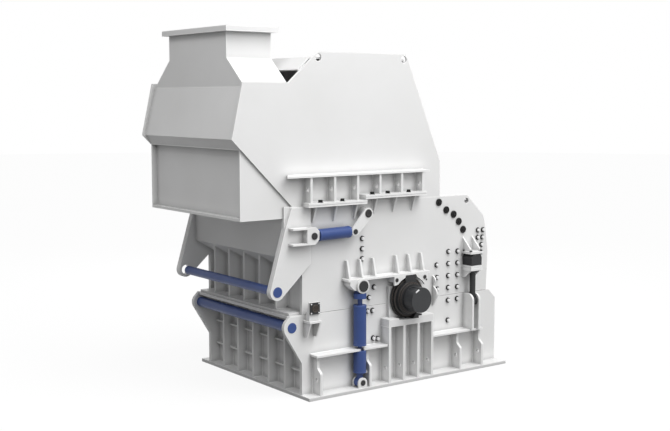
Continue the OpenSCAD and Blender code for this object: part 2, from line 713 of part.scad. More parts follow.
// Front plate set back between the side plates: a crease, a lip, and below it the box's front, set back again
module hood_front() {
    t = hood_t;
    half = shell_half;
    crease_x = front_x - 894;
    lip_z = hood_crease_z - 107;
    lip_t = 14;
    plate_x = box_x + box_lip;
    color(white) {
        xz_plate([[neck_x0, gable_foot_z], [crease_x, hood_crease_z], [box_x, lip_z], [box_x, lip_z - lip_t],
                  [plate_x, lip_z - lip_t], [plate_x, box_z], [plate_x + t, box_z], [plate_x + t, lip_z + t / 2],
                  [box_x + t, lip_z + t / 2], [crease_x + t + 2, hood_crease_z],
                  [neck_x0 + t, gable_foot_z - 6], [neck_x0 + t, gable_foot_z]],
                 -half, 2 * half);
        block([box_x, -half, box_z], [casing_front_x, half, box_z + box_floor_t]);
        block([casing_front_x, -inner_face, box_z], [recess_x + cross_t, inner_face, box_z + box_floor_t]);
        for (y = [-half, half - t])
            xz_plate([[box_x, box_z], [casing_front_x, box_z], [casing_front_x, casing_z],
                      [front_x - 100, casing_z], [front_x - 100, casing_z + 50],
                      [casing_front_x, casing_z + 160], [box_x, lip_z]], y, t);
    }
}

// Rear slope and roof of the hood, one bent plate
module hood_rear() {
    t = hood_t;
    top = hood_z - 62;
    x0 = front_x - 30;
    x1 = rear_x - 1594;
    x2 = hood_bend[0] - 40;
    z2 = hood_bend[1];
    color(white) xz_plate([[x0, top - 146], [x0 + 146, top], [x1, top], [x2, z2], [hood_back_x - 30, casing_z],
                           [hood_back_x - 30 - t, casing_z], [x2 - t, z2 - 4], [x1 - 13, top - t],
                           [x0 + 154, top - t], [x0 + 14, top - 160]],
                          -shell_half, 2 * shell_half);
}

module feed_neck() {
    t = hood_t;
    x0 = neck_x0;
    x1 = x0 + neck_l;
    neck_half = neck_w / 2;
    shoulder_z = shoulder_foot_z + 279;
    foot_z = gable_foot_z;
    flange_z = neck_z - feed_flange_t;
    gable = [[-shell_half, foot_z], [shell_half, foot_z], [neck_half, shoulder_z], [neck_half, flange_z],
             [-neck_half, flange_z], [-neck_half, shoulder_z]];
    color(white) {
        yz_plate(gable, x0, t);
        yz_plate(gable, x1 - t, t);
        for (side = [-1, 1])
            yz_plate([[side * shell_half, foot_z], [side * neck_half, shoulder_z], [side * neck_half, flange_z],
                      [side * (neck_half - t), flange_z], [side * (neck_half - t), shoulder_z - 10],
                      [side * (shell_half - 32), foot_z]],
                     x0 + t, neck_l - 2 * t);
        difference() {
            block([x0 - feed_flange_x, -neck_half - feed_flange_y, flange_z],
                  [x1 + feed_flange_x, neck_half + feed_flange_y, neck_z]);
            block([x0 + t, -neck_half + t, flange_z - edge_t], [x1 - t, neck_half - t, neck_z + edge_t]);
        }
    }
}

// ---------------------------------------------------------------- hood frames
frame_x1 = hood_back_x - 297;
frame_rib_x0 = front_x + 49;
frame_rib_pitch = (frame_x1 - 99 - frame_rib_x0) / 5;
frame_top_z = casing_z + 360;
flange_t = 25;
front_flange = [front_x + 5, frame_rib_x0 + 3 * frame_rib_pitch - 206, casing_z - 12];
rear_flange = [front_flange[1] - 22, frame_x1 - 42, casing_z + 45];
seat_gusset_x0 = front_x + 140;
seat_gusset_pitch = (rear_flange[1] - 146 - seat_gusset_x0) / 5;

module hood_frame() {
    xy_plate([[front_x - 195, 0], [frame_x1, 0], [frame_x1, frame_reach], [front_x - 289, frame_reach]],
             frame_top_z - flange_t, flange_t);
    for (f = [front_flange, rear_flange])
        block([f[0], 0, f[2] + flange_t], [f[1], frame_reach, f[2] + 2 * flange_t]);
}

module hood_rib_row() {
    for (i = [0:5]) {
        x = frame_rib_x0 + i * frame_rib_pitch;
        foot = (i < 3 ? front_flange : rear_flange)[2] + 2 * flange_t;
        difference() {
            block([x - 14, 0, foot], [x + 14, frame_reach - 8, frame_top_z - flange_t]);
            bar_x(70, frame_top_z - 170, 30, x - rib_t, x + rib_t);
        }
    }
}

// Seat flanges with a groove along their front edge, under the frame's flanges
module hood_seat() {
    groove = 6;
    for (f = [front_flange, rear_flange]) {
        block([f[0], 0, f[2]], [f[1], frame_reach, f[2] + flange_t - groove]);
        block([f[0], 0, f[2] + flange_t - groove], [f[1], frame_reach - groove, f[2] + flange_t]);
    }
    for (i = [0:5]) {
        z = (i < 3 ? front_flange : rear_flange)[2];
        yz_plate([[0, z], [88, z], [18, z - 185], [0, z - 185]], seat_gusset_x0 + i * seat_gusset_pitch, 22);
    }
}

module hood_ribs() { color(white) { on_right() hood_rib_row(); on_left() hood_rib_row(); } }
module hood_frames() { color(white) { on_right() hood_frame(); on_left() hood_frame(); } }
module hood_seats() { color(white) { on_right() hood_seat(); on_left() hood_seat(); } }

// ---------------------------------------------------------------- rear adjuster
screw_out = 106;
screw_eye_z = split_z - 90;
screw_pin_r = 30;
adjuster_half = 100;
adjuster_reach = rib_reach + 20;
seat_z0 = split_z + 310;
seat_step = 32;
seat_z1 = split_z + 377;
yoke_z0 = split_z + 528;
yoke_z1 = yoke_z0 + 30;
fork_t = 30;
fork_gap = 2 * screw_r + 6;

// Fixed seat and yoke plate, and the fork round the screw's lower eye
module adjuster_bracket() {
    reach = adjuster_reach;
    difference() {
        union() {
            block([screw_x - adjuster_half, 0, seat_z0], [screw_x + adjuster_half, reach, seat_z0 + seat_step]);
            block([screw_x - adjuster_half + 6, 0, seat_z0], [screw_x + adjuster_half - 6, reach - 6, seat_z1]);
        }
        translate([screw_x, screw_out, seat_z0 - edge_t])
            cylinder(r = screw_r + fit_gap, h = seat_z1 - seat_z0 + 2 * edge_t);
    }
    block([screw_x - adjuster_half - 4, 0, yoke_z0], [screw_x + adjuster_half + 4, reach, yoke_z1]);
    for (x = [screw_x - fork_gap / 2 - fork_t, screw_x + fork_gap / 2])
        difference() {
            yz_plate(concat([[0, right_shelf_z], [reach, right_shelf_z]],
                            arc([reach - 85, screw_eye_z + 10], 85, 0, 90, 8), [[0, screw_eye_z + 95]]),
                     x, fork_t);
            bar_x(screw_out, screw_eye_z, screw_pin_r + fit_gap, screw_x - fork_gap / 2 - fork_t / 2,
                  screw_x + fork_gap / 2 + fork_t / 2);
        }
}

// Screw with its eye and blind pin below and its square nut with sloped top edges between seat and yoke
module adjuster_screw() {
    top = yoke_z0 - fit_gap;
    nut_half = 88;
    xz_plate([[screw_x - nut_half, seat_z1 + fit_gap], [screw_x + nut_half, seat_z1 + fit_gap],
              [screw_x + nut_half, top - 46], [screw_x + nut_half - 30, top], [screw_x - nut_half + 30, top],
              [screw_x - nut_half, top - 46]],
             12, adjuster_reach - 18);
    translate([screw_x, screw_out, screw_eye_z]) cylinder(r = screw_r, h = seat_z1 - screw_eye_z + 5);
    bar_x(screw_out, screw_eye_z, 58, screw_x - fork_gap / 2 + edge_t, screw_x + fork_gap / 2 - edge_t);
    bar_x(screw_out, screw_eye_z, screw_pin_r, screw_x - fork_gap / 2 - fork_t / 2 + edge_t,
          screw_x + fork_gap / 2 + fork_t / 2 - edge_t);
}

module adjuster_brackets() { color(white) { on_right() adjuster_bracket(); on_left() adjuster_bracket(); } }
module adjuster_screws() { color(black) { on_right() adjuster_screw(); on_left() adjuster_screw(); } }

// ---------------------------------------------------------------- socket
socket_x = front_x + 97;
socket_z = split_z - 57;

module socket_bracket() {
    half = 84;
    color(white) on_right() {
        block([socket_x - half, 0, socket_z - 26], [socket_x + half, 144, socket_z]);
        for (x = [socket_x - 70, socket_x + 62])
            yz_plate([[0, socket_z - 26], [135, socket_z - 26], [62, socket_z - 203], [0, socket_z - 203]], x, 18);
        for (x = [socket_x - 68, socket_x + 50])
            yz_plate([[20, socket_z], [112, socket_z], [112, socket_z + 218], [90, socket_z + 222]], x, 18);
        block([socket_x - 50, 90, socket_z], [socket_x + 50, 112, socket_z + 218]);
    }
}

module socket_box() {
    color(black) on_right()
        block([socket_x - 68, 112, socket_z + 80], [socket_x + 68, 130, socket_z + 216]);
}

// ---------------------------------------------------------------- rotor
disc_count = 6;
disc_pitch = (2 * inner_face - 425) / (disc_count - 1);
hammer_pin_pcr = disc_r - 120;
hammer_pin_r = 40;
hammer_count = 4;

// Shaft with thicker ends, a keyway in each of them
module rotor_shaft() {
    key_w = 75;
    key_d = 34;
    color(black) difference() {
        union() {
            bar_y(rotor_x, rotor_z, shaft_r, -wall_face - 200, wall_face + 200);
            for (side = [-1, 1])
                bar_y(rotor_x, rotor_z, shaft_end_r, side > 0 ? wall_face + 190 : -wall_face - shaft_reach,
                      side > 0 ? wall_face + shaft_reach : -wall_face - 190);
        }
        for (y = [-wall_face - shaft_reach - edge_t, wall_face + 215])
            translate([rotor_x, y, rotor_z]) rotate([0, -30, 0])
                translate([-key_w / 2, 0, shaft_end_r - key_d]) cube([key_w, shaft_reach - 215 + edge_t, 2 * key_d]);
    }
}

function disc_y(i) = (i - (disc_count - 1) / 2) * disc_pitch;

module rotor_discs() {
    color(steel) for (i = [0:disc_count - 1])
        difference() {
            bar_y(rotor_x, rotor_z, disc_r, disc_y(i) - disc_t / 2, disc_y(i) + disc_t / 2);
            bar_y(rotor_x, rotor_z, shaft_r + fit_gap, disc_y(i) - disc_t, disc_y(i) + disc_t);
            for (k = [0:hammer_count - 1])
                let (a = 45 + k * 360 / hammer_count)
                bar_y(rotor_x + hammer_pin_pcr * cos(a), rotor_z + hammer_pin_pcr * sin(a),
                      hammer_pin_r + fit_gap, disc_y(i) - disc_t, disc_y(i) + disc_t);
        }
}

module hammers() {
    pin_half = disc_y(disc_count - 1) + disc_t / 2 + 15;
    hammer_l = hammer_tip_r - hammer_pin_pcr;
    hammer_w = disc_pitch - disc_t - 2 * hammer_gap;
    color(steel) translate([rotor_x, 0, rotor_z])
        for (k = [0:hammer_count - 1])
            rotate([0, -45 - k * 360 / hammer_count, 0]) {
                bar_y(hammer_pin_pcr, 0, hammer_pin_r, -pin_half, pin_half);
                for (i = [0:disc_count - 2]) {
                    mid = (disc_y(i) + disc_y(i + 1)) / 2;
                    block([hammer_pin_pcr - 85, mid - hammer_w / 2, -85],
                          [hammer_pin_pcr + hammer_l - 20, mid + hammer_w / 2, 85]);
                }
            }
}

// ---------------------------------------------------------------- breaker drive
lever_pin = [breaker_x, breaker_z] + lever_l * [cos(lever_a), sin(lever_a)];
lever_y0 = clevis_y1;
lever_t = 30;
rod_eye_w = eye_w - 4;
rod_eye_r = 46;
rod_eye_hole_r = 30;
lever_pin_r = 25;
lever_end_r = 52;

module breaker_plate() {
    plate_half = inner_face - 12;
    plate_l = 620;
    plate_t = 60;
    color(steel) {
        bar_y(breaker_x, breaker_z, breaker_r, -wall_face - lever_y0 - lever_t - 6,
              wall_face + lever_y0 + lever_t + 6);
        translate([breaker_x, 0, breaker_z]) rotate([0, -lever_a, 0]) {
            difference() {
                block([-75, -plate_half, -plate_t / 2 - 30], [75, plate_half, plate_t / 2 + 30]);
                bar_y(0, 0, breaker_r, -plate_half - edge_t, plate_half + edge_t);
            }
            block([75, -plate_half, -plate_t / 2], [plate_l, plate_half, plate_t / 2]);
        }
    }
}

module lever() {
    difference() {
        union() {
            xz_plate(link_outline([breaker_x, breaker_z], 65, lever_pin, lever_end_r), lever_y0, lever_t);
            bar_y(breaker_x, breaker_z, 63, move_gap, lever_y0 + edge_t);
            bar_y(lever_pin[0], lever_pin[1], lever_pin_r, eye_y0 - 6, lever_y0 + edge_t);
        }
        bar_y(breaker_x, breaker_z, breaker_r + fit_gap, 0, lever_y0 + lever_t + edge_t);
    }
}

// Tilt cylinder drawn along +X from its fixed pin, then turned towards the lever's pin
tilt_a = atan2(lever_pin[1] - tilt_pin_z, lever_pin[0] - tilt_pin_x);
tilt_l = norm(lever_pin - [tilt_pin_x, tilt_pin_z]);

module along_tilt() {
    translate([tilt_pin_x, tilt_out, tilt_pin_z]) rotate([0, -tilt_a, 0]) children();
}

module tilt_barrel() {
    barrel_x0 = 84;
    barrel_x1 = tilt_l - lever_end_r - move_gap;
    along_tilt() difference() {
        union() {
            bar_y(0, 0, tilt_eye_r, -eye_w / 2 + 1, eye_w / 2 - 1);
            block([0, -eye_w / 2 + 1, -40], [barrel_x0 + 10, eye_w / 2 - 1, 40]);
            bar_x(0, 0, tilt_r, barrel_x0, barrel_x1);
        }
        bar_y(0, 0, tilt_eye_pin_r + fit_gap, -eye_w, eye_w);
        bar_x(0, 0, tilt_rod_r + rod_gap, barrel_x0 + 40, barrel_x1 + edge_t);
    }
}

// Rod with an eye; the neck behind the eye is flattened to pass the lever
module tilt_rod() {
    along_tilt() difference() {
        union() {
            bar_x(0, 0, tilt_rod_r, 150, tilt_l - 60);
            intersection() {
                bar_x(0, 0, tilt_rod_r, tilt_l - 61, tilt_l - 36);
                block([tilt_l - 70, -rod_eye_w / 2, -tilt_rod_r], [tilt_l, rod_eye_w / 2, tilt_rod_r]);
            }
            bar_y(tilt_l, 0, rod_eye_r, -rod_eye_w / 2, rod_eye_w / 2);
        }
        bar_y(tilt_l, 0, rod_eye_hole_r, -eye_w, eye_w);
    }
}

module right_lever() { color(white) on_right() lever(); }
module left_lever() { color(white) on_left() lever(); }
module right_tilt_barrel() { color(blue) on_right() tilt_barrel(); }
module left_tilt_barrel() { color(blue) on_left() tilt_barrel(); }
module right_tilt_rod() { color(blue) on_right() tilt_rod(); }
module left_tilt_rod() { color(blue) on_left() tilt_rod(); }

base_frame();
lower_front_wall();
lower_rear_wall();
upper_front_wall();
upper_rear_wall();
end_ribs();
right_lower_wall();
left_lower_wall();
right_upper_wall();
left_upper_wall();
side_ribs();
side_shelves();
right_lug_plate();
left_lug_plate();
right_bearing_shelf();
left_bearing_shelf();
right_bearing();
left_bearing();
right_lift_cylinder();
left_lift_cylinder();
fixed_pins();
adjuster_brackets();
adjuster_screws();
hood_seats();
hood_frames();
hood_ribs();
right_hood_wall();
left_hood_wall();
hood_front();
hood_rear();
feed_neck();
upper_bar();
lower_bar();
socket_bracket();
socket_box();
rotor_shaft();
rotor_discs();
hammers();
breaker_plate();
right_lever();
left_lever();
right_tilt_barrel();
left_tilt_barrel();
right_tilt_rod();
left_tilt_rod();
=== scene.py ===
"""Finishes, fasteners, welds and fittings of a hammer crusher, with the studio it stands in.

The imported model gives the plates, bearings, cylinders and rotor. This script paints them and
adds what is fastened to them: nuts, plugs, keys, pin caps, bands, seals and weld seams.
"""

import logging
import math
from dataclasses import dataclass
from enum import Enum
from typing import Sequence

import bmesh
import bpy
from mathutils import Matrix, Vector


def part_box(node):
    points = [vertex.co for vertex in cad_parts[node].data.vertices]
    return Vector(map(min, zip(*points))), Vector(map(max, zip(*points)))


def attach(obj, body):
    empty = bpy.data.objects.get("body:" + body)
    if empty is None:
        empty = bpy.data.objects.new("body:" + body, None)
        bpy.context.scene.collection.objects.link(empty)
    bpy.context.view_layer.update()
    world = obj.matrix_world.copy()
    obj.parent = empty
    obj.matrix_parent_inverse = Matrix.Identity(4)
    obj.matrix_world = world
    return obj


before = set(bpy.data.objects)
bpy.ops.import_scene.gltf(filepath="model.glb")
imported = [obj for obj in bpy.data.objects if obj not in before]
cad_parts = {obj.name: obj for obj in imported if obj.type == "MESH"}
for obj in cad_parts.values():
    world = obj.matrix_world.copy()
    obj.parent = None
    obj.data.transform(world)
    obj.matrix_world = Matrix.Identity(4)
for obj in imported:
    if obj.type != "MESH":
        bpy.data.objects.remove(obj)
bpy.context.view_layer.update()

LOG = logging.getLogger("hammer_crusher")
Colour = tuple[float, float, float]
Outline = Sequence[tuple[float, float]]


def half(node: str, axis: int) -> float:
    """Half of a node's length along an axis."""
    low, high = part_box(node)
    return (high[axis] - low[axis]) / 2


def middle(node: str, axis: int) -> float:
    """The middle of a node along an axis."""
    low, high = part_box(node)
    return (low[axis] + high[axis]) / 2


WALL_FACE = -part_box("right_upper_wall")[0].y
SPLIT_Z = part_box("right_upper_wall")[0].z
SHAFT_RADIUS = half("rotor_shaft", 2)
AXIS_X, AXIS_Z = middle("rotor_shaft", 0), middle("rotor_shaft", 2)
BASE_TOP = 0.040
FRONT_SEAT, REAR_SEAT = 2.318, 2.375
LET_IN = 0.001


class Side(Enum):
    """The two side walls, by the direction in Y that points out of each."""

    RIGHT = -1
    LEFT = 1

    @property
    def tag(self) -> str:
        """The side's word in the names of pieces and bodies."""
        return self.name.lower()


class Slot(Enum):
    """Names of the record's material slots; new pieces are given one but don't use it."""

    WHITE = "white_paint"
    BLUE = "blue_paint"
    BLACK = "black_steel"


# ---- node helpers
class NodeBench:
    """Places shader nodes in one tree and links them."""

    def __init__(self, tree: bpy.types.NodeTree) -> None:
        """Takes a node tree to build in, and empties it."""
        self.tree = tree
        tree.nodes.clear()

    def add(self, kind: str, inputs: dict | None = None, **settings: object) -> bpy.types.Node:
        """Makes a node.

        Args:
            kind: The node's Blender type.
            inputs: Values or output sockets by input name or index.
            settings: Properties of the node itself.

        Returns:
            The new node.
        """
        node = self.tree.nodes.new(kind)
        for name, value in settings.items():
            setattr(node, name, value)
        for name, value in (inputs or {}).items():
            socket = node.inputs[name]
            if isinstance(value, bpy.types.NodeSocket):
                self.tree.links.new(value, socket)
            else:
                socket.default_value = value
        return node

    def maths(self, operation: str, *values: object) -> bpy.types.NodeSocket:
        """Adds a Math node on numbers or outputs, in order, and returns its output."""
        return self.add("ShaderNodeMath", dict(enumerate(values)), operation=operation).outputs[0]

    def blend(self, share: object, first: object, second: object) -> bpy.types.NodeSocket:
        """Mixes two colours.

        Args:
            share: How much of the second colour shows, from 0 to 1.
            first: The colour or output at 0.
            second: The colour or output at 1.

        Returns:
            The mixed colour.
        """
        node = self.add("ShaderNodeMix", {0: share}, data_type="RGBA")
        for index, value in ((6, first), (7, second)):
            if isinstance(value, bpy.types.NodeSocket):
                self.tree.links.new(value, node.inputs[index])
            else:
                node.inputs[index].default_value = (*value, 1.0)
        return node.outputs[2]

    def ramp(self, value: object, low: float, high: float, start: float = 0.0,
             end: float = 1.0) -> bpy.types.NodeSocket:
        """Maps a value from one range to another, held at both ends.

        Args:
            value: The output to map.
            low: The value that becomes start.
            high: The value that becomes end.
            start: The result at low.
            end: The result at high.

        Returns:
            The mapped value.
        """
        node = self.add("ShaderNodeMapRange", {"Value": value, "From Min": low, "From Max": high,
                                               "To Min": start, "To Max": end})
        return node.outputs[0]

    def noise(self, place: bpy.types.NodeSocket, scale: object, detail: float,
              roughness: float = 0.5) -> bpy.types.NodeSocket:
        """Adds a Noise Texture.

        Args:
            place: The coordinates that it reads.
            scale: A number or an output.
            detail: Number of finer layers.
            roughness: Strength of the finer layers.

        Returns:
            The noise, around 0.5.
        """
        node = self.add("ShaderNodeTexNoise", {"Vector": place, "Scale": scale, "Detail": detail,
                                               "Roughness": roughness})
        return node.outputs[0]

    def send(self, end: bpy.types.Node, **results: bpy.types.NodeSocket) -> None:
        """Links results to the inputs of a group's output node by their names."""
        for name, socket in results.items():
            self.tree.links.new(socket, end.inputs[name])


class Effect(Enum):
    """Names of the node groups that finishes share."""

    EDGES = "rounded_rubbed_edges_and_painted_light"
    COAT = "sprayed_coat"
    DUST = "settled_dust"
    GRAIN = "machined_grain"


class EffectShelf:
    """Builds each shared node group once and places it in a material."""

    def __init__(self) -> None:
        """Builds the four groups."""
        self.edges()
        self.coat()
        self.dust()
        self.grain()

    @staticmethod
    def start(effect: Effect, numbers: dict[str, float], *results: str) -> tuple:
        """Opens a node group with its sockets.

        Args:
            effect: Which group it is.
            numbers: Names and default values of the number inputs.
            results: Names of the outputs, which are numbers apart from Normal.

        Returns:
            The group's bench, the values that it is given, and its output node.
        """
        group = bpy.data.node_groups.new(effect.value, "ShaderNodeTree")
        bench = NodeBench(group)
        group.interface.new_socket("Vector", in_out="INPUT", socket_type="NodeSocketVector")
        for name, value in numbers.items():
            socket = group.interface.new_socket(name, in_out="INPUT", socket_type="NodeSocketFloat")
            socket.default_value = value
        for name in results:
            kind = "NodeSocketVector" if name == "Normal" else "NodeSocketFloat"
            group.interface.new_socket(name, in_out="OUTPUT", socket_type=kind)
        return bench, bench.add("NodeGroupInput").outputs, bench.add("NodeGroupOutput")

    def edges(self) -> None:
        """Rounds edges in the shading, and masks rubbed edges, convex plate rims for a painted highlight, and
        inner corners for painted shade.
        """
        numbers = {"Radius": 0.003, "Patch": 9.0, "Rim": 0.014, "Reach": 0.085}
        bench, given, out = self.start(Effect.EDGES, numbers, "Normal", "Mask", "Rim", "Corner")
        bevel = bench.add("ShaderNodeBevel", {"Radius": given["Radius"]}, samples=4)
        surface = bench.add("ShaderNodeNewGeometry")
        dot = bench.add("ShaderNodeVectorMath", {0: bevel.outputs[0], 1: surface.outputs["Normal"]},
                        operation="DOT_PRODUCT")
        bend = bench.ramp(dot.outputs["Value"], 0.995, 0.93)
        broken = bench.ramp(bench.noise(given["Vector"], given["Patch"], 5.0), 0.46, 0.66)
        # Occlusion inside the plate finds convex rims, which are lightened later as a painted highlight.
        within = bench.add("ShaderNodeAmbientOcclusion", {"Distance": given["Rim"]},
                           samples=6, inside=True, only_local=True)
        # Occlusion from outside finds inner corners and recesses, which are darkened as painted shade, less
        # on faces that look up.
        around = bench.add("ShaderNodeAmbientOcclusion", {"Distance": given["Reach"]}, samples=8)
        facing = bench.add("ShaderNodeSeparateXYZ", {0: surface.outputs["Normal"]})
        weaker_facing_up = bench.ramp(facing.outputs[2], 0.2, 0.8, 1.0, 0.15)
        inner = bench.ramp(around.outputs["AO"], 0.95, 0.45)
        bench.send(out, Normal=bevel.outputs[0], Mask=bench.maths("MULTIPLY", bend, broken),
                   Rim=bench.ramp(within.outputs["AO"], 1.0, 0.55),
                   Corner=bench.maths("MULTIPLY", inner, weaker_facing_up))

    def coat(self) -> None:
        """Cloudy tone and fine orange peel of a sprayed coat."""
        bench, given, out = self.start(Effect.COAT, {"Cloud": 1.1, "Peel": 160.0}, "Tone", "Height")
        cloud = bench.noise(given["Vector"], given["Cloud"], 4.0, 0.55)
        bench.send(out, Tone=bench.ramp(cloud, 0.3, 0.7),
                   Height=bench.noise(given["Vector"], given["Peel"], 1.0))

    def dust(self) -> None:
        """Mask of stone dust: on faces that look up, and thicker towards the ground."""
        bench, given, out = self.start(Effect.DUST, {"Top": 0.9, "Patch": 6.0}, "Mask")
        surface = bench.add("ShaderNodeNewGeometry")
        facing = bench.add("ShaderNodeSeparateXYZ", {0: surface.outputs["Normal"]})
        place = bench.add("ShaderNodeSeparateXYZ", {0: given["Vector"]})
        level = bench.ramp(facing.outputs[2], 0.55, 0.98)
        low = bench.ramp(bench.maths("DIVIDE", place.outputs[2], given["Top"]), 1.0, 0.0, 0.0, 0.55)
        speck = bench.noise(given["Vector"], given["Patch"], 8.0, 0.7)
        bench.send(out, Mask=bench.maths("MULTIPLY", bench.maths("MAXIMUM", level, low),
                                         bench.ramp(speck, 0.42, 0.72)))

    def grain(self) -> None:
        """Tone and height of machined or rolled metal."""
        bench, given, out = self.start(Effect.GRAIN, {"Fine": 90.0, "Stretch": 0.12}, "Tone", "Height")
        lay = bench.add("ShaderNodeCombineXYZ", {0: 1.0, 1: given["Stretch"], 2: 1.0})
        drawn = bench.add("ShaderNodeVectorMath", {0: given["Vector"], 1: lay.outputs[0]},
                          operation="MULTIPLY")
        fine = bench.noise(drawn.outputs[0], given["Fine"], 3.0)
        broad = bench.noise(given["Vector"], 4.0, 6.0)
        both = bench.maths("ADD", bench.maths("MULTIPLY", fine, 0.45), bench.maths("MULTIPLY", broad, 0.55))
        bench.send(out, Tone=bench.ramp(both, 0.35, 0.65), Height=fine)

    @staticmethod
    def place(bench: NodeBench, effect: Effect, vector: bpy.types.NodeSocket,
              **numbers: float) -> bpy.types.Node:
        """Puts a shared group into a material, with its coordinates and the material's own numbers."""
        return bench.add("ShaderNodeGroup", {"Vector": vector, **numbers},
                         node_tree=bpy.data.node_groups[effect.value])


# ---- finishes
STONE_DUST: Colour = (0.50, 0.475, 0.44)


def opened(name: str) -> tuple[bpy.types.Material, NodeBench, bpy.types.NodeSocket]:
    """Starts a material.

    Args:
        name: The finish's name.

    Returns:
        The material, its bench and its coordinates.
    """
    material = bpy.data.materials.new(name)
    material.use_nodes = True
    bench = NodeBench(material.node_tree)
    return material, bench, bench.add("ShaderNodeTexCoord").outputs["Object"]


def shaded(bench: NodeBench, surface: dict[str, object], relief: dict[str, object]) -> None:
    """Ends a material with its bump, its Principled shader and its output.

    Args:
        bench: The material's bench.
        surface: The shader's inputs, apart from Normal.
        relief: The bump's inputs.
    """
    bump = bench.add("ShaderNodeBump", relief)
    shader = bench.add("ShaderNodeBsdfPrincipled", {**surface, "Normal": bump.outputs[0]})
    bench.add("ShaderNodeOutputMaterial", {"Surface": shader.outputs[0]})


@dataclass(frozen=True)
class Paint:
    """A sprayed coat on steel plate, with its undercoat showing where edges are rubbed, a painted highlight
    on plate rims and painted shade in inner corners.
    """

    name: str
    colour: Colour
    shade: Colour
    under: Colour
    roughness: float
    rub: float
    dust: float
    cloud: float = 1.1
    # rim: lighter colour painted on convex plate rims, a painted highlight; corner: darker colour painted
    # into inner corners, painted shade.
    rim: Colour = (0.92, 0.92, 0.915)
    rim_share: float = 1.0
    corner: Colour = (0.30, 0.30, 0.30)
    corner_share: float = 0.6

    def build(self, effects: EffectShelf) -> bpy.types.Material:
        """Makes the material.

        Args:
            effects: The shared node groups.

        Returns:
            The new material.
        """
        material, bench, place = opened(self.name)
        coat = effects.place(bench, Effect.COAT, place, Cloud=self.cloud)
        edges = effects.place(bench, Effect.EDGES, place)
        dust = effects.place(bench, Effect.DUST, place)
        colour = bench.blend(coat.outputs["Tone"], self.colour, self.shade)
        # Dust, then the painted highlight on rims, then rubbed edges, then painted shade in inner corners.
        for mask, share, over in ((dust.outputs["Mask"], self.dust, STONE_DUST),
                                  (edges.outputs["Rim"], self.rim_share, self.rim),
                                  (edges.outputs["Mask"], self.rub, self.under),
                                  (edges.outputs["Corner"], self.corner_share, self.corner)):
            colour = bench.blend(bench.maths("MULTIPLY", mask, share), colour, over)
        rough = bench.ramp(coat.outputs["Tone"], 0.0, 1.0, self.roughness - 0.05, self.roughness + 0.07)
        shaded(bench, {"Base Color": colour, "Roughness": rough, "Specular IOR Level": 0.35},
               {"Strength": 0.12, "Distance": 0.0004, "Height": coat.outputs["Height"],
                "Normal": edges.outputs["Normal"]})
        return material


@dataclass(frozen=True)
class Metal:
    """Bare, plated, oiled or blackened metal, and black rubber."""

    name: str
    colour: Colour
    shade: Colour
    worn: Colour
    roughness: float
    metallic: float
    rub: float
    fine: float = 90.0
    shine: float = 0.5

    def build(self, effects: EffectShelf) -> bpy.types.Material:
        """Makes the material.

        Args:
            effects: The shared node groups.

        Returns:
            The new material.
        """
        material, bench, place = opened(self.name)
        grain = effects.place(bench, Effect.GRAIN, place, Fine=self.fine)
        edges = effects.place(bench, Effect.EDGES, place)
        colour = bench.blend(grain.outputs["Tone"], self.colour, self.shade)
        colour = bench.blend(bench.maths("MULTIPLY", edges.outputs["Mask"], self.rub), colour, self.worn)
        rough = bench.ramp(grain.outputs["Tone"], 0.0, 1.0, self.roughness - 0.08, self.roughness + 0.10)
        shaded(bench, {"Base Color": colour, "Roughness": rough, "Metallic": self.metallic,
                       "Specular IOR Level": self.shine},
               {"Strength": 0.18, "Distance": 0.0005, "Height": grain.outputs["Height"],
                "Normal": edges.outputs["Normal"]})
        return material


# White keeps the default rim and corner: a painted highlight on rims and painted shade in corners.
WHITE = Paint("white_enamel", (0.80, 0.80, 0.80), (0.765, 0.765, 0.76), (0.55, 0.54, 0.53),
              roughness=0.42, rub=0.12, dust=0.08)
# The blue's rim is a lighter blue painted as a highlight, its corner a dark blue painted as shade.
BLUE = Paint("blue_enamel", (0.040, 0.080, 0.255), (0.034, 0.066, 0.215), (0.16, 0.17, 0.20),
             roughness=0.38, rub=0.25, dust=0.08, cloud=3.0, rim=(0.07, 0.12, 0.33), rim_share=0.6,
             corner=(0.02, 0.03, 0.09), corner_share=0.5)
RUBBER = Metal("black_plug", (0.012, 0.012, 0.012), (0.008, 0.008, 0.008), (0.06, 0.055, 0.05),
               roughness=0.55, metallic=0.0, rub=0.5, shine=0.25)
# Its rubbed edges show lighter brown: partly wear, partly a painted highlight on the bearing rings' edges.
BLACK = Metal("blackened_steel", (0.030, 0.031, 0.033), (0.020, 0.020, 0.021), (0.105, 0.080, 0.062),
              roughness=0.46, metallic=0.0, rub=0.65, shine=0.35)
SHAFT = Metal("oiled_shaft_steel", (0.036, 0.038, 0.041), (0.028, 0.029, 0.031), (0.16, 0.15, 0.14),
              roughness=0.40, metallic=0.0, rub=0.6, fine=140.0, shine=0.4)
SEAL = Metal("bronze_brown_ring", (0.060, 0.046, 0.037), (0.042, 0.033, 0.028), (0.17, 0.12, 0.08),
             roughness=0.42, metallic=0.2, rub=0.5)
ZINC = Metal("zinc_plated_steel", (0.86, 0.86, 0.86), (0.80, 0.80, 0.80), (0.90, 0.90, 0.90),
             roughness=0.34, metallic=0.15, rub=0.4)
WORN = Metal("worn_casting", (0.26, 0.245, 0.235), (0.15, 0.135, 0.125), (0.52, 0.51, 0.50),
             roughness=0.50, metallic=0.75, rub=0.8, fine=45.0)


class Finishes:
    """Holds one material for each finish."""

    def __init__(self) -> None:
        """Builds every finish once."""
        effects = EffectShelf()
        self.made = {f.name: f.build(effects) for f in (WHITE, BLUE, RUBBER, BLACK, SHAFT, SEAL, ZINC, WORN)}

    def of(self, *finishes: Paint | Metal) -> list[bpy.types.Material]:
        """Returns the materials of finishes."""
        return [self.made[finish.name] for finish in finishes]


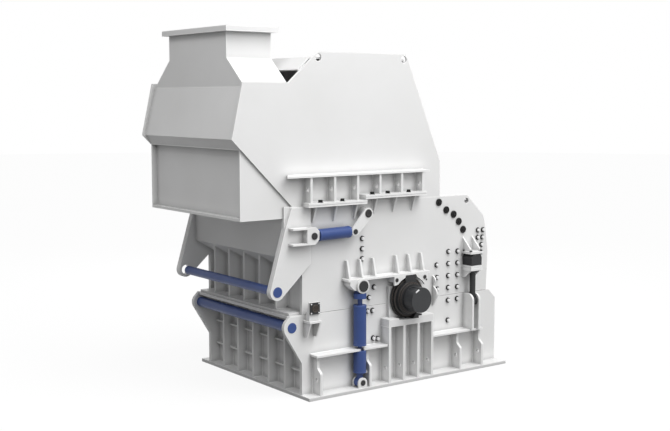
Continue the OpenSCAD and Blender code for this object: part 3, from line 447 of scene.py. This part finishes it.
# ---- mesh helpers
def turned(outline: Outline, steps: int = 32) -> bmesh.types.BMesh:
    """Turns a profile round the Z axis into a closed body.

    Args:
        outline: Radius and height of each point; the first and the last lie on the axis.
        steps: Number of flats round the axis.

    Returns:
        The closed body.
    """
    bm = bmesh.new()
    verts = [bm.verts.new((r, 0.0, z)) for r, z in outline]
    edges = [bm.edges.new(pair) for pair in zip(verts, verts[1:])]
    bmesh.ops.spin(bm, geom=[*verts, *edges], cent=(0, 0, 0), axis=(0, 0, 1), angle=math.tau,
                   steps=steps, use_merge=True)
    bmesh.ops.remove_doubles(bm, verts=bm.verts, dist=1e-5)
    bmesh.ops.recalc_face_normals(bm, faces=bm.faces)
    return bm


def hexagon(across: float, height: float, chamfer: float) -> bmesh.types.BMesh:
    """Makes a hexagon with its top edges broken, standing on Z = 0.

    Args:
        across: Width across the flats.
        height: Height of the body.
        chamfer: Width of the broken edge on top.

    Returns:
        The body.
    """
    bm = bmesh.new()
    bmesh.ops.create_circle(bm, cap_ends=True, segments=6, radius=across / math.sqrt(3))
    lifted = bmesh.ops.extrude_face_region(bm, geom=bm.faces[:])
    top = [v for v in lifted["geom"] if isinstance(v, bmesh.types.BMVert)]
    bmesh.ops.translate(bm, verts=top, vec=(0, 0, height))
    rim = [e for e in bm.edges if all(v in top for v in e.verts)]
    bmesh.ops.bevel(bm, geom=rim, offset=chamfer, offset_type="OFFSET", segments=2, profile=0.5,
                    affect="EDGES", material=-1)
    bmesh.ops.recalc_face_normals(bm, faces=bm.faces)
    return bm


def slab(size: Sequence[float], rounding: float) -> bmesh.types.BMesh:
    """Makes a rectangular bar with rounded edges, standing on Z = 0.

    Args:
        size: Its three lengths.
        rounding: Radius of its edges.

    Returns:
        The bar.
    """
    bm = bmesh.new()
    bmesh.ops.create_cube(bm, size=1.0)
    bmesh.ops.scale(bm, verts=bm.verts, vec=size)
    bmesh.ops.translate(bm, verts=bm.verts, vec=(0, 0, size[2] / 2))
    bmesh.ops.bevel(bm, geom=bm.edges[:], offset=rounding, offset_type="OFFSET", segments=2,
                    profile=0.5, affect="EDGES", material=-1)
    return bm


def painted(bm: bmesh.types.BMesh, index: int) -> bmesh.types.BMesh:
    """Gives every face of a body one material index.

    Args:
        bm: The body.
        index: The index.

    Returns:
        The same body.
    """
    for face in bm.faces:
        face.material_index = index
    return bm


def stacked(*bodies: bmesh.types.BMesh) -> bpy.types.Mesh:
    """Joins bodies into one pattern mesh that can be copied many times.

    Args:
        bodies: The bodies, which are used up.

    Returns:
        The pattern.
    """
    pattern = bpy.data.meshes.new("pattern")
    whole = bmesh.new()
    for body in bodies:
        body.to_mesh(pattern)
        body.free()
        whole.from_mesh(pattern)
    whole.to_mesh(pattern)
    whole.free()
    return pattern


def hex_bolt(across: float, height: float) -> bpy.types.Mesh:
    """Makes a hexagon bolt head on a washer.

    Args:
        across: Width across the flats.
        height: Height of the head.

    Returns:
        The pattern.
    """
    r = across * 0.72
    washer = turned([(0, 0), (r, 0), (r, 0.003), (r - 0.001, 0.004), (0, 0.004)], 20)
    head = hexagon(across, height, across * 0.06)
    bmesh.ops.translate(head, verts=head.verts, vec=(0, 0, 0.003))
    return stacked(washer, head)


class Piece:
    """Collects copies of patterns and becomes one object that rides on a body."""

    def __init__(self, name: str) -> None:
        """Opens an empty piece under its name."""
        self.name = name
        self.bm = bmesh.new()

    def stamp(self, pattern: bpy.types.Mesh, place: Matrix) -> None:
        """Copies a pattern into the piece.

        Args:
            pattern: The mesh to copy.
            place: Where its own axes go.
        """
        first = len(self.bm.verts)
        self.bm.from_mesh(pattern)
        self.bm.verts.ensure_lookup_table()
        bmesh.ops.transform(self.bm, matrix=place, verts=self.bm.verts[first:])

    def finish(self, body: str, slot: Slot, materials: Sequence[bpy.types.Material],
               crease: float = 35.0) -> bpy.types.Object:
        """Turns the piece into an object.

        Args:
            body: The body that it rides on.
            slot: Not used.
            materials: Its materials, by index.
            crease: Angle in degrees from which an edge stays sharp.

        Returns:
            The object.
        """
        for face in self.bm.faces:
            face.smooth = True
        for edge in self.bm.edges:
            edge.smooth = len(edge.link_faces) == 2 and edge.calc_face_angle(0.0) < math.radians(crease)
        mesh = bpy.data.meshes.new(self.name)
        self.bm.to_mesh(mesh)
        self.bm.free()
        for material in materials:
            mesh.materials.append(material)
        obj = bpy.data.objects.new(self.name, mesh)
        bpy.context.scene.collection.objects.link(obj)
        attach(obj, body)
        LOG.info("%s: %d faces on %s", self.name, len(mesh.polygons), body)
        return obj


class Facing(Enum):
    """Where a pattern's own +Z points, by its tilt from upright in degrees."""

    OUT = 90.0
    UP = 0.0
    DOWN = 180.0


def placed(side: Side, x: float, out: float, z: float, facing: Facing = Facing.OUT,
           spin: float = 0.0) -> Matrix:
    """Gives the place of a pattern on a side wall, or on a level plate beside it.

    Args:
        side: Which wall.
        x: Position along the housing.
        out: Distance out from the wall's face.
        z: Height.
        facing: Where the pattern points.
        spin: Turn about the pattern's own axis, in degrees.

    Returns:
        The placing matrix.
    """
    tilt = Matrix.Rotation(math.radians(facing.value * -side.value), 4, "X")
    return (Matrix.Translation((x, side.value * (WALL_FACE + out), z)) @ tilt
            @ Matrix.Rotation(math.radians(spin), 4, "Z"))


# ---- fasteners
@dataclass
class Fasteners:
    """Liner nuts with their studs, and round plugs, on the housing's side walls."""

    finishes: Finishes
    nut_across: float = 0.060
    nut_height: float = 0.014
    stud_radius: float = 0.0205
    stud_proud: float = 0.022
    plug_radius: float = 0.045
    liner_rows: tuple = ((0.700, (1.563, 1.407, 1.251, 1.096, 0.931, 0.670)),
                         (0.857, (1.557, 1.404, 1.249, 1.092, 0.934)),
                         (-0.702, (1.837, 1.712, 1.589)))
    liner_singles: tuple = ((0.500, 1.406), (0.506, 1.244), (0.516, 1.095), (-0.520, 1.226),
                            (-0.597, 1.104), (-0.620, 0.939), (-0.542, 0.937), (-0.528, 0.592),
                            (-0.462, 0.578))
    plug_places: tuple = ((0.530, 2.207), (0.657, 2.103), (0.784, 2.040), (0.875, 1.942), (0.951, 1.832))
    rear_places: tuple = ((1.215, 1.805), (1.305, 1.803), (1.211, 1.709), (1.294, 1.707),
                          (1.281, 1.609), (1.274, 1.510))

    def liner_bolt(self) -> bpy.types.Mesh:
        """Makes a black nut and the bright stud that stands out of it.

        Returns:
            The pattern.
        """
        nut = hexagon(self.nut_across, self.nut_height, 0.003)
        r, top = self.stud_radius, self.nut_height + self.stud_proud
        stud = turned([(0, 0.008), (r, 0.008), (r, top - 0.003), (r - 0.003, top), (0, top)], 20)
        return stacked(nut, painted(stud, 1))

    def plug(self) -> bpy.types.Mesh:
        """Makes a round plug with a raised rim and a hexagon boss in its dish.

        Returns:
            The pattern.
        """
        r = self.plug_radius
        cap = turned([(0, 0), (r, 0), (r, 0.014), (r - 0.004, 0.019), (r - 0.012, 0.020),
                      (r - 0.016, 0.013), (0, 0.013)], 36)
        return stacked(cap, hexagon(0.034, 0.022, 0.002))

    def build(self) -> None:
        """Makes every group of nuts and plugs on both walls."""
        nut, plug = self.liner_bolt(), self.plug()
        liner = [(x, z) for x, heights in self.liner_rows for z in heights] + list(self.liner_singles)
        rubber, nut_and_stud = self.finishes.of(RUBBER), self.finishes.of(RUBBER, ZINC)
        groups = (("liner_bolts", nut, liner, 17.0, nut_and_stud),
                  ("wall_plugs", plug, self.plug_places, 23.0, rubber),
                  ("rear_bolts", nut, self.rear_places, 31.0, nut_and_stud))
        for side in Side:
            for name, pattern, spots, turn, materials in groups:
                group = Piece(f"{side.tag}_{name}")
                for i, (x, z) in enumerate(spots):
                    group.stamp(pattern, placed(side, x, 0.0, z, spin=turn * i))
                group.finish("housing", Slot.BLACK, materials)


@dataclass
class FlangeBolts:
    """Bolts that hold the hood frames' lower flanges down on their seats."""

    finishes: Finishes
    out: float = 0.108
    front_xs: tuple = (-1.395, -1.077)
    rear_xs: tuple = (-0.631, -0.392, -0.061)
    across: float = 0.046
    height: float = 0.028

    def build(self) -> None:
        """Makes the rows of bolt heads."""
        head = hex_bolt(self.across, self.height)
        spots = [(x, FRONT_SEAT) for x in self.front_xs] + [(x, REAR_SEAT) for x in self.rear_xs]
        for side in Side:
            row = Piece(f"{side.tag}_flange_bolts")
            for i, (x, top) in enumerate(spots):
                row.stamp(head, placed(side, x, self.out, top, Facing.UP, 19.0 * i))
            row.finish("housing", Slot.BLACK, self.finishes.of(RUBBER))


# ---- bearing
@dataclass
class BearingTrim:
    """Seal rings, flange screws and ear pins round each shaft bearing, and the shaft's key."""

    finishes: Finishes
    ring_radius: float = half("right_bearing", 0)
    flange_face: float = 0.076
    flange_edge: float = 0.008
    screw_count: int = 24
    screw_across: float = 0.018
    screw_height: float = 0.009
    cap_arc: tuple = (20.0, 140.0)
    ear_face: float = 0.140
    key_angle: float = 120.0
    key_width: float = 0.068
    key_height: float = 0.026
    keyway_floor: float = SHAFT_RADIUS - 0.034
    keyway_start: float = 0.217
    shaft_reach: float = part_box("rotor_shaft")[1].y - WALL_FACE
    seals: tuple = ((-0.0125, 0.0765, 0.006), (-0.0275, 0.1125, 0.005), (-0.064, 0.1465, 0.005),
                    (-0.0765, 0.1705, 0.004))
    ear_pins: tuple = ((-0.222, 0.241, 0.024), (0.229, 0.241, 0.024), (0.257, 0.207, 0.010))

    def seal_rings(self, side: Side) -> None:
        """Makes the brown rings that lie in the steps between the bearing's flanges.

        Args:
            side: Which side.
        """
        rings = Piece(f"{side.tag}_bearing_seals")
        for inset, out, width in self.seals:
            bm = bmesh.new()
            ring = bmesh.ops.create_circle(bm, segments=12, radius=width)["verts"]
            bmesh.ops.rotate(bm, verts=ring, cent=(0, 0, 0), matrix=Matrix.Rotation(math.pi / 2, 3, "X"))
            bmesh.ops.translate(bm, verts=ring, vec=(self.ring_radius + inset, 0, 0))
            bmesh.ops.spin(bm, geom=bm.verts[:] + bm.edges[:], cent=(0, 0, 0), axis=(0, 0, 1),
                           angle=math.tau, steps=72, use_merge=True)
            bmesh.ops.recalc_face_normals(bm, faces=bm.faces)
            rings.stamp(stacked(bm), placed(side, AXIS_X, out, AXIS_Z))
        rings.finish("housing", Slot.BLACK, self.finishes.of(SEAL))

    def flange_screws(self, side: Side) -> None:
        """Makes the screws round the bearing's rear flange, left out under the cap.

        Args:
            side: Which side.
        """
        screws = Piece(f"{side.tag}_bearing_screws")
        screw = hex_bolt(self.screw_across, self.screw_height)
        circle = self.ring_radius - self.flange_edge
        for i in range(self.screw_count):
            degrees = (i + 0.5) * 360.0 / self.screw_count
            if self.cap_arc[0] < degrees < self.cap_arc[1]:
                continue
            angle = math.radians(degrees)
            screws.stamp(screw, placed(side, AXIS_X + circle * math.cos(angle), self.flange_face - LET_IN,
                                       AXIS_Z + circle * math.sin(angle)))
        screws.finish("housing", Slot.BLACK, self.finishes.of(BLACK))

    def pins(self, side: Side) -> None:
        """Makes the round pins in the two ears beside the bearing cap.

        Args:
            side: Which side.
        """
        pins = Piece(f"{side.tag}_ear_pins")
        for x, z, r in self.ear_pins:
            pin = turned([(0, 0), (r, 0), (r, 0.007), (r - 0.003, 0.010), (r * 0.45, 0.010),
                          (r * 0.40, 0.006), (0, 0.006)], 24)
            pins.stamp(stacked(pin), placed(side, AXIS_X + x, self.ear_face - LET_IN, AXIS_Z + z))
        pins.finish("housing", Slot.BLACK, self.finishes.of(BLACK))

    def key(self, side: Side) -> None:
        """Makes the black key in the shaft's keyway, with its bright ground end.

        Args:
            side: Which side.
        """
        end = Piece(f"{side.tag}_shaft_key")
        length = self.shaft_reach - self.keyway_start
        turn = Matrix.Rotation(math.radians(90.0 - self.key_angle) * side.value, 3, "Z")
        bar = slab((self.key_width, self.key_height, length - 0.002), 0.003)
        tip = painted(slab((self.key_width - 0.006, self.key_height - 0.006, 0.002), 0.0006), 1)
        bmesh.ops.translate(tip, verts=tip.verts, vec=(0, 0, length - 0.0025))
        for body in (bar, tip):
            bmesh.ops.translate(body, verts=body.verts, vec=(0, self.keyway_floor + self.key_height / 2, 0))
            bmesh.ops.rotate(body, verts=body.verts, cent=(0, 0, 0), matrix=turn)
        end.stamp(stacked(bar, tip), placed(side, AXIS_X, self.keyway_start, AXIS_Z))
        end.finish("rotor", Slot.BLACK, self.finishes.of(SHAFT, ZINC))

    def build(self) -> None:
        """Makes both bearings' trim."""
        for side in Side:
            self.seal_rings(side)
            self.flange_screws(side)
            self.pins(side)
            self.key(side)


# ---- cylinders and breaker drive
@dataclass
class CylinderTrim:
    """Gland rings, end rings and pin caps of the lift and tilt cylinders."""

    finishes: Finishes
    lift_x: float = -0.800
    lift_out: float = 0.091
    lift_radius: float = half("right_lift_cylinder", 0)
    lift_rings: tuple = ((0.565, 0.020), (1.036, 0.020), (0.233, 0.014))
    tilt_pin: tuple = (-1.493, 1.934)
    tilt_out: float = 0.0783
    tilt_radius: float = half("right_tilt_barrel", 1)
    tilt_rings: tuple = ((0.092, 0.022), (0.515, 0.026))
    lever_pin: tuple = (-0.9010, 1.9450)
    lever_cap: float = 0.031
    lever_face: float = 0.1346
    breaker_pin: tuple = (-0.708, 2.152)
    breaker_cap: float = 0.049

    @staticmethod
    def band(radius: float, width: float, proud: float) -> bmesh.types.BMesh:
        """Makes a closed band of a width, which stands proud of a tube's radius round the Z axis."""
        r, h, c = radius + proud, width / 2, 0.0015
        return turned([(0, -h), (r - c, -h), (r, -h + c), (r, h - c), (r - c, h), (0, h)], 48)

    def lift_trim(self, side: Side) -> None:
        """Makes the bands of one lift cylinder.

        Args:
            side: Which side.
        """
        trim = Piece(f"{side.tag}_lift_cylinder_trim")
        for z, width in self.lift_rings:
            trim.stamp(stacked(self.band(self.lift_radius, width, 0.0025)),
                       placed(side, self.lift_x, self.lift_out, z, Facing.UP))
        trim.finish("housing", Slot.BLUE, self.finishes.of(BLUE))

    def tilt_trim(self, side: Side) -> None:
        """Makes the gland ring and the end ring of one tilt cylinder.

        Args:
            side: Which side.
        """
        trim = Piece(f"{side.tag}_tilt_cylinder_trim")
        run = Vector((self.lever_pin[0] - self.tilt_pin[0], 0.0, self.lever_pin[1] - self.tilt_pin[1]))
        foot = Vector((self.tilt_pin[0], side.value * (WALL_FACE + self.tilt_out), self.tilt_pin[1]))
        along = run.to_track_quat("Z", "Y").to_matrix().to_4x4()
        for distance, width in self.tilt_rings:
            trim.stamp(stacked(self.band(self.tilt_radius, width, 0.002)),
                       Matrix.Translation(foot + run.normalized() * distance) @ along)
        trim.finish(f"{side.tag}_barrel", Slot.BLUE, self.finishes.of(BLUE))

    def pin_caps(self, side: Side) -> None:
        """Makes the black caps on the lever's two ends, which swing with it.

        Args:
            side: Which side.
        """
        caps = Piece(f"{side.tag}_lever_caps")
        for (x, z), r in ((self.breaker_pin, self.breaker_cap), (self.lever_pin, self.lever_cap)):
            cap = turned([(0, -0.004), (r, -0.004), (r, 0.007), (r - 0.003, 0.010), (r * 0.5, 0.010),
                          (r * 0.5 - 0.003, 0.007), (0, 0.007)], 32)
            caps.stamp(stacked(cap), placed(side, x, self.lever_face, z))
        caps.finish("breaker", Slot.BLACK, self.finishes.of(BLACK))

    def build(self) -> None:
        """Makes the trim of both sides' cylinders."""
        for side in Side:
            self.lift_trim(side)
            self.tilt_trim(side)
            self.pin_caps(side)


# ---- adjuster and socket
@dataclass
class AdjusterTrim:
    """Bolts of the yoke plates and the lock nuts of the rear screw adjusters."""

    finishes: Finishes
    screw_x: float = middle("adjuster_screws", 0)
    screw_out: float = 0.106
    seat_under: float = SPLIT_Z + 0.310
    yoke_top: float = SPLIT_Z + 0.558
    bolt_spread: float = 0.090
    bolt_outs: tuple = (0.034, 0.166)
    bolt_across: float = 0.026
    bolt_height: float = 0.016
    nut_across: float = 0.092
    nut_height: float = 0.036

    def build(self) -> None:
        """Makes both adjusters' trim."""
        small = hex_bolt(self.bolt_across, self.bolt_height)
        nut = stacked(hexagon(self.nut_across, self.nut_height, 0.004))
        for side in Side:
            trim = Piece(f"{side.tag}_adjuster_bolts")
            for out in self.bolt_outs:
                for x in (self.screw_x - self.bolt_spread, self.screw_x + self.bolt_spread):
                    trim.stamp(small, placed(side, x, out, self.yoke_top, Facing.UP))
            trim.stamp(nut, placed(side, self.screw_x, self.screw_out, self.seat_under, Facing.DOWN, 12.0))
            trim.finish("housing", Slot.BLACK, self.finishes.of(BLACK))


@dataclass
class SocketTrim:
    """Round connector and corner screws on the face of the socket box."""

    finishes: Finishes
    centre: tuple = (-1.488, 1.086)
    face: float = 0.130
    pole_count: int = 6
    pole_circle: float = 0.021
    screw_spread: float = 0.054

    def build(self) -> None:
        """Makes the connector and its screws on the right wall."""
        x, z = self.centre
        trim = Piece("socket_face")
        ring = turned([(0, -0.002), (0.046, -0.002), (0.046, 0.006), (0.043, 0.009), (0.038, 0.009),
                       (0.035, 0.003), (0, 0.003)], 40)
        trim.stamp(stacked(painted(ring, 2)), placed(Side.RIGHT, x, self.face, z))
        pole = stacked(turned([(0, 0), (0.0042, 0), (0.0042, 0.007), (0.003, 0.009), (0, 0.009)], 12))
        angles = [math.tau * i / self.pole_count for i in range(self.pole_count)]
        spots = [(self.pole_circle * math.cos(a), self.pole_circle * math.sin(a)) for a in angles]
        for dx, dz in [*spots, (0.0, 0.0)]:
            trim.stamp(pole, placed(Side.RIGHT, x + dx, self.face + 0.001, z + dz))
        screw = stacked(painted(turned([(0, 0), (0.0095, 0), (0.0095, 0.003), (0.006, 0.007), (0, 0.0075)],
                                       16), 1))
        for i, k in ((-1, -1), (-1, 1), (1, -1), (1, 1)):
            trim.stamp(screw, placed(Side.RIGHT, x + i * self.screw_spread, self.face,
                                     z + k * self.screw_spread))
        trim.finish("housing", Slot.BLACK, self.finishes.of(RUBBER, ZINC, SEAL))


# ---- welds
@dataclass(frozen=True)
class RibRow:
    """Upright ribs on a side wall, by their middles, half thickness, ends, and the welds' reach there."""

    middles: tuple
    half: float
    foot: float
    top: float
    foot_out: float = 0.0
    top_out: float = 0.0


@dataclass
class WeldSeams:
    """Fillet welds along the joints between the housing's plates."""

    finishes: Finishes
    leg: float = 0.007
    rib_rows: tuple = (
        RibRow((-1.422, -0.689), 0.017, BASE_TOP, 0.495, 0.160, 0.098),
        RibRow((0.788, 1.174), 0.017, BASE_TOP, 0.513, 0.160, 0.098),
        RibRow(tuple(AXIS_X + i * 0.229 for i in (-1.5, -0.5, 0.5, 1.5)), 0.017, BASE_TOP, 0.732, 0.160,
               0.160),
        RibRow(tuple(AXIS_X + x for x in (-0.913, -0.718, -0.517, -0.155, 0.047, 0.252)), 0.012, 1.372,
               1.590, 0.098),
        RibRow((-1.536, -1.198, -0.860), 0.014, FRONT_SEAT, 2.615, 0.126, 0.126),
        RibRow((-0.522, -0.184, 0.154), 0.014, REAR_SEAT, 2.615, 0.126, 0.126),
        RibRow((-1.434, -1.132, -0.830), 0.011, 2.085, 2.268, 0.0, 0.080),
        RibRow((-0.528, -0.226, 0.076), 0.011, 2.142, 2.325, 0.0, 0.080),
        RibRow((0.957, 1.117), 0.011, 1.553, 1.735, 0.138),
        RibRow((0.957, 1.117), 0.011, 1.215, 1.305, 0.0, 0.150))
    level_beads: tuple = ((-1.585, 1.550, BASE_TOP), (-1.472, -0.4025, 0.520), (0.3185, 1.193, 0.538),
                          (-1.002, 0.276, 1.372), (-1.780, 0.253, 2.640), (-0.308, 0.220, 1.215),
                          (-1.580, -0.728, FRONT_SEAT), (-0.750, 0.211, REAR_SEAT),
                          (0.940, 1.134, 1.305), (0.940, 1.134, 1.525))
    lug_beads: tuple = (((-1.480, 1.601), (-1.8787, 1.2354)),
                        ((-1.480, 1.601), (-1.480, 2.266), (-1.742, 2.266), (-1.831, 2.030)))
    front_pitch: float = 0.355
    front_half: float = 0.015
    front_beads: tuple = (((-1.583, BASE_TOP), (-1.450, BASE_TOP), (-1.450, 0.960), (-1.583, 0.960)),
                          ((-1.530, 1.066), (-1.530, 1.527), (-1.700, 1.628)),
                          ((-1.703, 1.025), (-1.570, 1.025)))

    @staticmethod
    def bead(curve: bpy.types.Curve, points: Sequence[Vector]) -> None:
        """Lays one straight or bent bead.

        Args:
            curve: The curve that holds the beads.
            points: The bead's corners.
        """
        spline = curve.splines.new("POLY")
        spline.points.add(len(points) - 1)
        for target, point in zip(spline.points, points):
            target.co = (*point, 1.0)

    def open(self) -> bpy.types.Curve:
        """Starts a curve that will hold beads.

        Returns:
            The curve.
        """
        curve = bpy.data.curves.new("beads", "CURVE")
        curve.dimensions = "3D"
        curve.bevel_depth = self.leg
        curve.bevel_resolution = 1
        curve.use_fill_caps = True
        return curve

    def close(self, curve: bpy.types.Curve, name: str) -> None:
        """Turns a finished curve into a mesh piece on the housing.

        Args:
            curve: The curve with its beads.
            name: The piece's name.
        """
        holder = bpy.data.objects.new(name + "_path", curve)
        bpy.context.scene.collection.objects.link(holder)
        bpy.context.view_layer.update()
        shaped = holder.evaluated_get(bpy.context.evaluated_depsgraph_get())
        mesh = bpy.data.meshes.new_from_object(shaped)
        piece = Piece(name)
        piece.bm.from_mesh(mesh)
        bpy.data.objects.remove(holder)
        bmesh.ops.recalc_face_normals(piece.bm, faces=piece.bm.faces)
        piece.finish("housing", Slot.WHITE, self.finishes.of(WHITE), crease=60.0)

    @staticmethod
    def at(side: Side, x: float, out: float, z: float) -> Vector:
        """Returns the point at a distance out from a side wall."""
        return Vector((x, side.value * (WALL_FACE + out), z))

    def rib_beads(self, curve: bpy.types.Curve, side: Side, row: RibRow) -> None:
        """Welds a row of ribs to the wall, on both faces of each rib.

        Args:
            curve: The curve that holds the beads.
            side: Which wall.
            row: The ribs.
        """
        for x in row.middles:
            for face in (x - row.half, x + row.half):
                path = [self.at(side, face, 0.0, row.foot), self.at(side, face, 0.0, row.top)]
                if row.foot_out:
                    path.insert(0, self.at(side, face, row.foot_out, row.foot))
                if row.top_out:
                    path.append(self.at(side, face, row.top_out, row.top))
                self.bead(curve, path)

    def side_welds(self, side: Side) -> None:
        """Welds everything that stands on one side wall.

        Args:
            side: Which side.
        """
        curve = self.open()
        for path in [((x0, z), (x1, z)) for x0, x1, z in self.level_beads] + list(self.lug_beads):
            self.bead(curve, [self.at(side, x, 0.0, z) for x, z in path])
        for row in self.rib_rows:
            self.rib_beads(curve, side, row)
        self.close(curve, f"{side.tag}_side_welds")

    def front_welds(self) -> None:
        """Welds the ribs of the lower and the upper front wall."""
        curve = self.open()
        for i in range(-2, 3):
            for y in (i * self.front_pitch - self.front_half, i * self.front_pitch + self.front_half):
                for path in self.front_beads:
                    self.bead(curve, [Vector((x, y, z)) for x, z in path])
        self.close(curve, "front_welds")

    def build(self) -> None:
        """Lays every seam."""
        for side in Side:
            self.side_welds(side)
        self.front_welds()


# ---- painted frame nodes
@dataclass
class PaintShop:
    """Assigns finishes to the frame's own nodes."""

    finishes: Finishes
    blue: tuple = ("right_lift_cylinder", "left_lift_cylinder", "upper_bar", "lower_bar",
                   "right_tilt_barrel", "left_tilt_barrel", "right_tilt_rod", "left_tilt_rod")
    black: tuple = ("right_bearing", "left_bearing", "fixed_pins", "adjuster_screws", "socket_box")
    worn: tuple = ("rotor_discs", "hammers", "breaker_plate")

    def finish_of(self, node: str) -> Paint | Metal:
        """Chooses a finish.

        Args:
            node: A node's name.

        Returns:
            The node's finish.
        """
        if node in self.blue:
            return BLUE
        if node in self.black:
            return BLACK
        if node in self.worn:
            return WORN
        return SHAFT if node == "rotor_shaft" else WHITE

    def build(self) -> None:
        """Dresses every node."""
        for name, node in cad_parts.items():
            node.data.materials.clear()
            node.data.materials.append(self.finishes.of(self.finish_of(name))[0])
        LOG.info("dressed %d nodes", len(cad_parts))


# ---- studio
def hang(data: bpy.types.Light, aim: Vector, place: Sequence[float] = (0.0, 0.0, 0.0)) -> None:
    """Puts a lamp into the scene.

    Args:
        data: The lamp.
        aim: The direction in which it shines.
        place: Where it hangs.
    """
    lamp = bpy.data.objects.new(data.name, data)
    lamp.location = place
    lamp.rotation_euler = aim.to_track_quat("-Z", "Y").to_euler()
    bpy.context.scene.collection.objects.link(lamp)


@dataclass(frozen=True)
class SoftBox:
    """A square lamp that is aimed at a point."""

    name: str
    place: tuple
    target: tuple
    size: float
    power: float

    def build(self) -> None:
        """Puts the lamp into the scene."""
        data = bpy.data.lights.new(self.name, "AREA")
        data.energy = self.power
        data.size = self.size
        hang(data, Vector(self.target) - Vector(self.place), self.place)


@dataclass
class Studio:
    """Pale floor, surrounding light, lamps and the camera."""

    floor_half: float = 60.0
    horizon: float = 0.2
    zenith: float = 0.36
    panel: float = 0.75
    panel_aim: tuple = (0.3, -0.94, 0.12)
    top_light: float = 1.2
    top_angle: float = 35.0
    top_aim: tuple = (-0.15, 0.42, -0.89)
    floor_bounce: float = 0.17
    floor_glow: float = 0.90
    white: tuple = (1.0, 1.0, 1.0, 1.0)
    camera_place: tuple = (-8.8328, -11.5587, 3.5086)
    camera_tilt: float = 6.003
    camera_turn: float = -36.426
    lens: float = 59.43
    boxes: tuple = (SoftBox("key_side", (1.0, -6.8, 8.2), (0.0, -1.0, 2.2), 5.0, 270.0),
                    SoftBox("fill_feed_end", (-5.5, -2.5, 8.5), (-2.2, 0.0, 3.2), 3.0, 150.0),
                    SoftBox("fill_rear", (4.5, 7.5, 6.5), (0.2, 0.6, 2.0), 5.0, 260.0))

    @staticmethod
    def seen(bench: NodeBench) -> bpy.types.NodeSocket:
        """Tells the rays that look, straight, in a mirror or through glass, from those that carry light.

        Args:
            bench: Where the nodes go.

        Returns:
            1 for a ray that looks, or else 0.
        """
        path = bench.add("ShaderNodeLightPath")
        first = bench.maths("MAXIMUM", path.outputs["Is Camera Ray"], path.outputs["Is Glossy Ray"])
        return bench.maths("MAXIMUM", first, path.outputs["Is Transmission Ray"])

    def world(self) -> None:
        """Makes the surrounding light, with a broad bright panel at the right side, and a white backdrop."""
        world = bpy.data.worlds.new("studio")
        world.use_nodes = True
        bpy.context.scene.world = world
        bench = NodeBench(world.node_tree)
        ray = bench.add("ShaderNodeTexCoord").outputs["Generated"]
        height = bench.add("ShaderNodeSeparateXYZ", {0: ray}).outputs[2]
        facing = bench.add("ShaderNodeVectorMath", {0: ray, 1: Vector(self.panel_aim).normalized()},
                           operation="DOT_PRODUCT")
        panel = bench.ramp(facing.outputs["Value"], 0.1, 0.9, 0.0, self.panel)
        level = bench.maths("ADD", bench.ramp(height, 0.0, 1.0, self.horizon, self.zenith), panel)
        light = bench.add("ShaderNodeBackground", {"Color": self.white, "Strength": level})
        drop = bench.add("ShaderNodeBackground", {"Color": self.white, "Strength": 1.0})
        mix = bench.add("ShaderNodeMixShader", {0: self.seen(bench), 1: light.outputs[0], 2: drop.outputs[0]})
        bench.add("ShaderNodeOutputWorld", {"Surface": mix.outputs[0]})

    def floor(self) -> None:
        """Makes the floor, which shows nearly white and keeps a faint soft shadow."""
        bm = bmesh.new()
        bmesh.ops.create_circle(bm, cap_ends=True, segments=64, radius=self.floor_half)
        mesh = bpy.data.meshes.new("floor")
        bm.to_mesh(mesh)
        bm.free()
        material = bpy.data.materials.new("pale_floor")
        material.use_nodes = True
        bench = NodeBench(material.node_tree)
        lit = bench.add("ShaderNodeBsdfDiffuse", {"Color": (0.95, 0.95, 0.95, 1)})
        white = bench.add("ShaderNodeEmission", {"Color": self.white, "Strength": 1.0})
        shown = bench.add("ShaderNodeMixShader", {0: self.floor_glow, 1: lit.outputs[0], 2: white.outputs[0]})
        grey = (self.floor_bounce, self.floor_bounce, self.floor_bounce, 1)
        bounced = bench.add("ShaderNodeBsdfDiffuse", {"Color": grey})
        mix = bench.add("ShaderNodeMixShader", {0: self.seen(bench), 1: bounced.outputs[0],
                                                2: shown.outputs[0]})
        bench.add("ShaderNodeOutputMaterial", {"Surface": mix.outputs[0]})
        mesh.materials.append(material)
        obj = bpy.data.objects.new("floor", mesh)
        bpy.context.scene.collection.objects.link(obj)

    def lamps(self) -> None:
        """Hangs the broad top light and the soft boxes."""
        top = bpy.data.lights.new("top", "SUN")
        top.energy = self.top_light
        top.angle = math.radians(self.top_angle)
        hang(top, Vector(self.top_aim))
        for box in self.boxes:
            box.build()

    def camera(self) -> None:
        """Sets the camera in front of the feed end's right corner."""
        data = bpy.data.cameras.new("camera")
        data.lens = self.lens
        camera = bpy.data.objects.new("camera", data)
        camera.location = self.camera_place
        camera.rotation_euler = (math.radians(90.0 - self.camera_tilt), 0.0, math.radians(self.camera_turn))
        bpy.context.scene.collection.objects.link(camera)
        bpy.context.scene.camera = camera

    def build(self) -> None:
        """Makes the whole studio."""
        bpy.context.scene.view_settings.view_transform = "Standard"
        self.camera()
        self.world()
        self.floor()
        self.lamps()


def main() -> None:
    """Builds the sub-assemblies in order."""
    logging.basicConfig(level=logging.INFO, format="%(name)s: %(message)s")
    Studio().build()
    finishes = Finishes()
    for work in (PaintShop, Fasteners, FlangeBolts, BearingTrim, CylinderTrim, AdjusterTrim, SocketTrim,
                 WeldSeams):
        work(finishes).build()


if __name__ == "__main__":
    main()
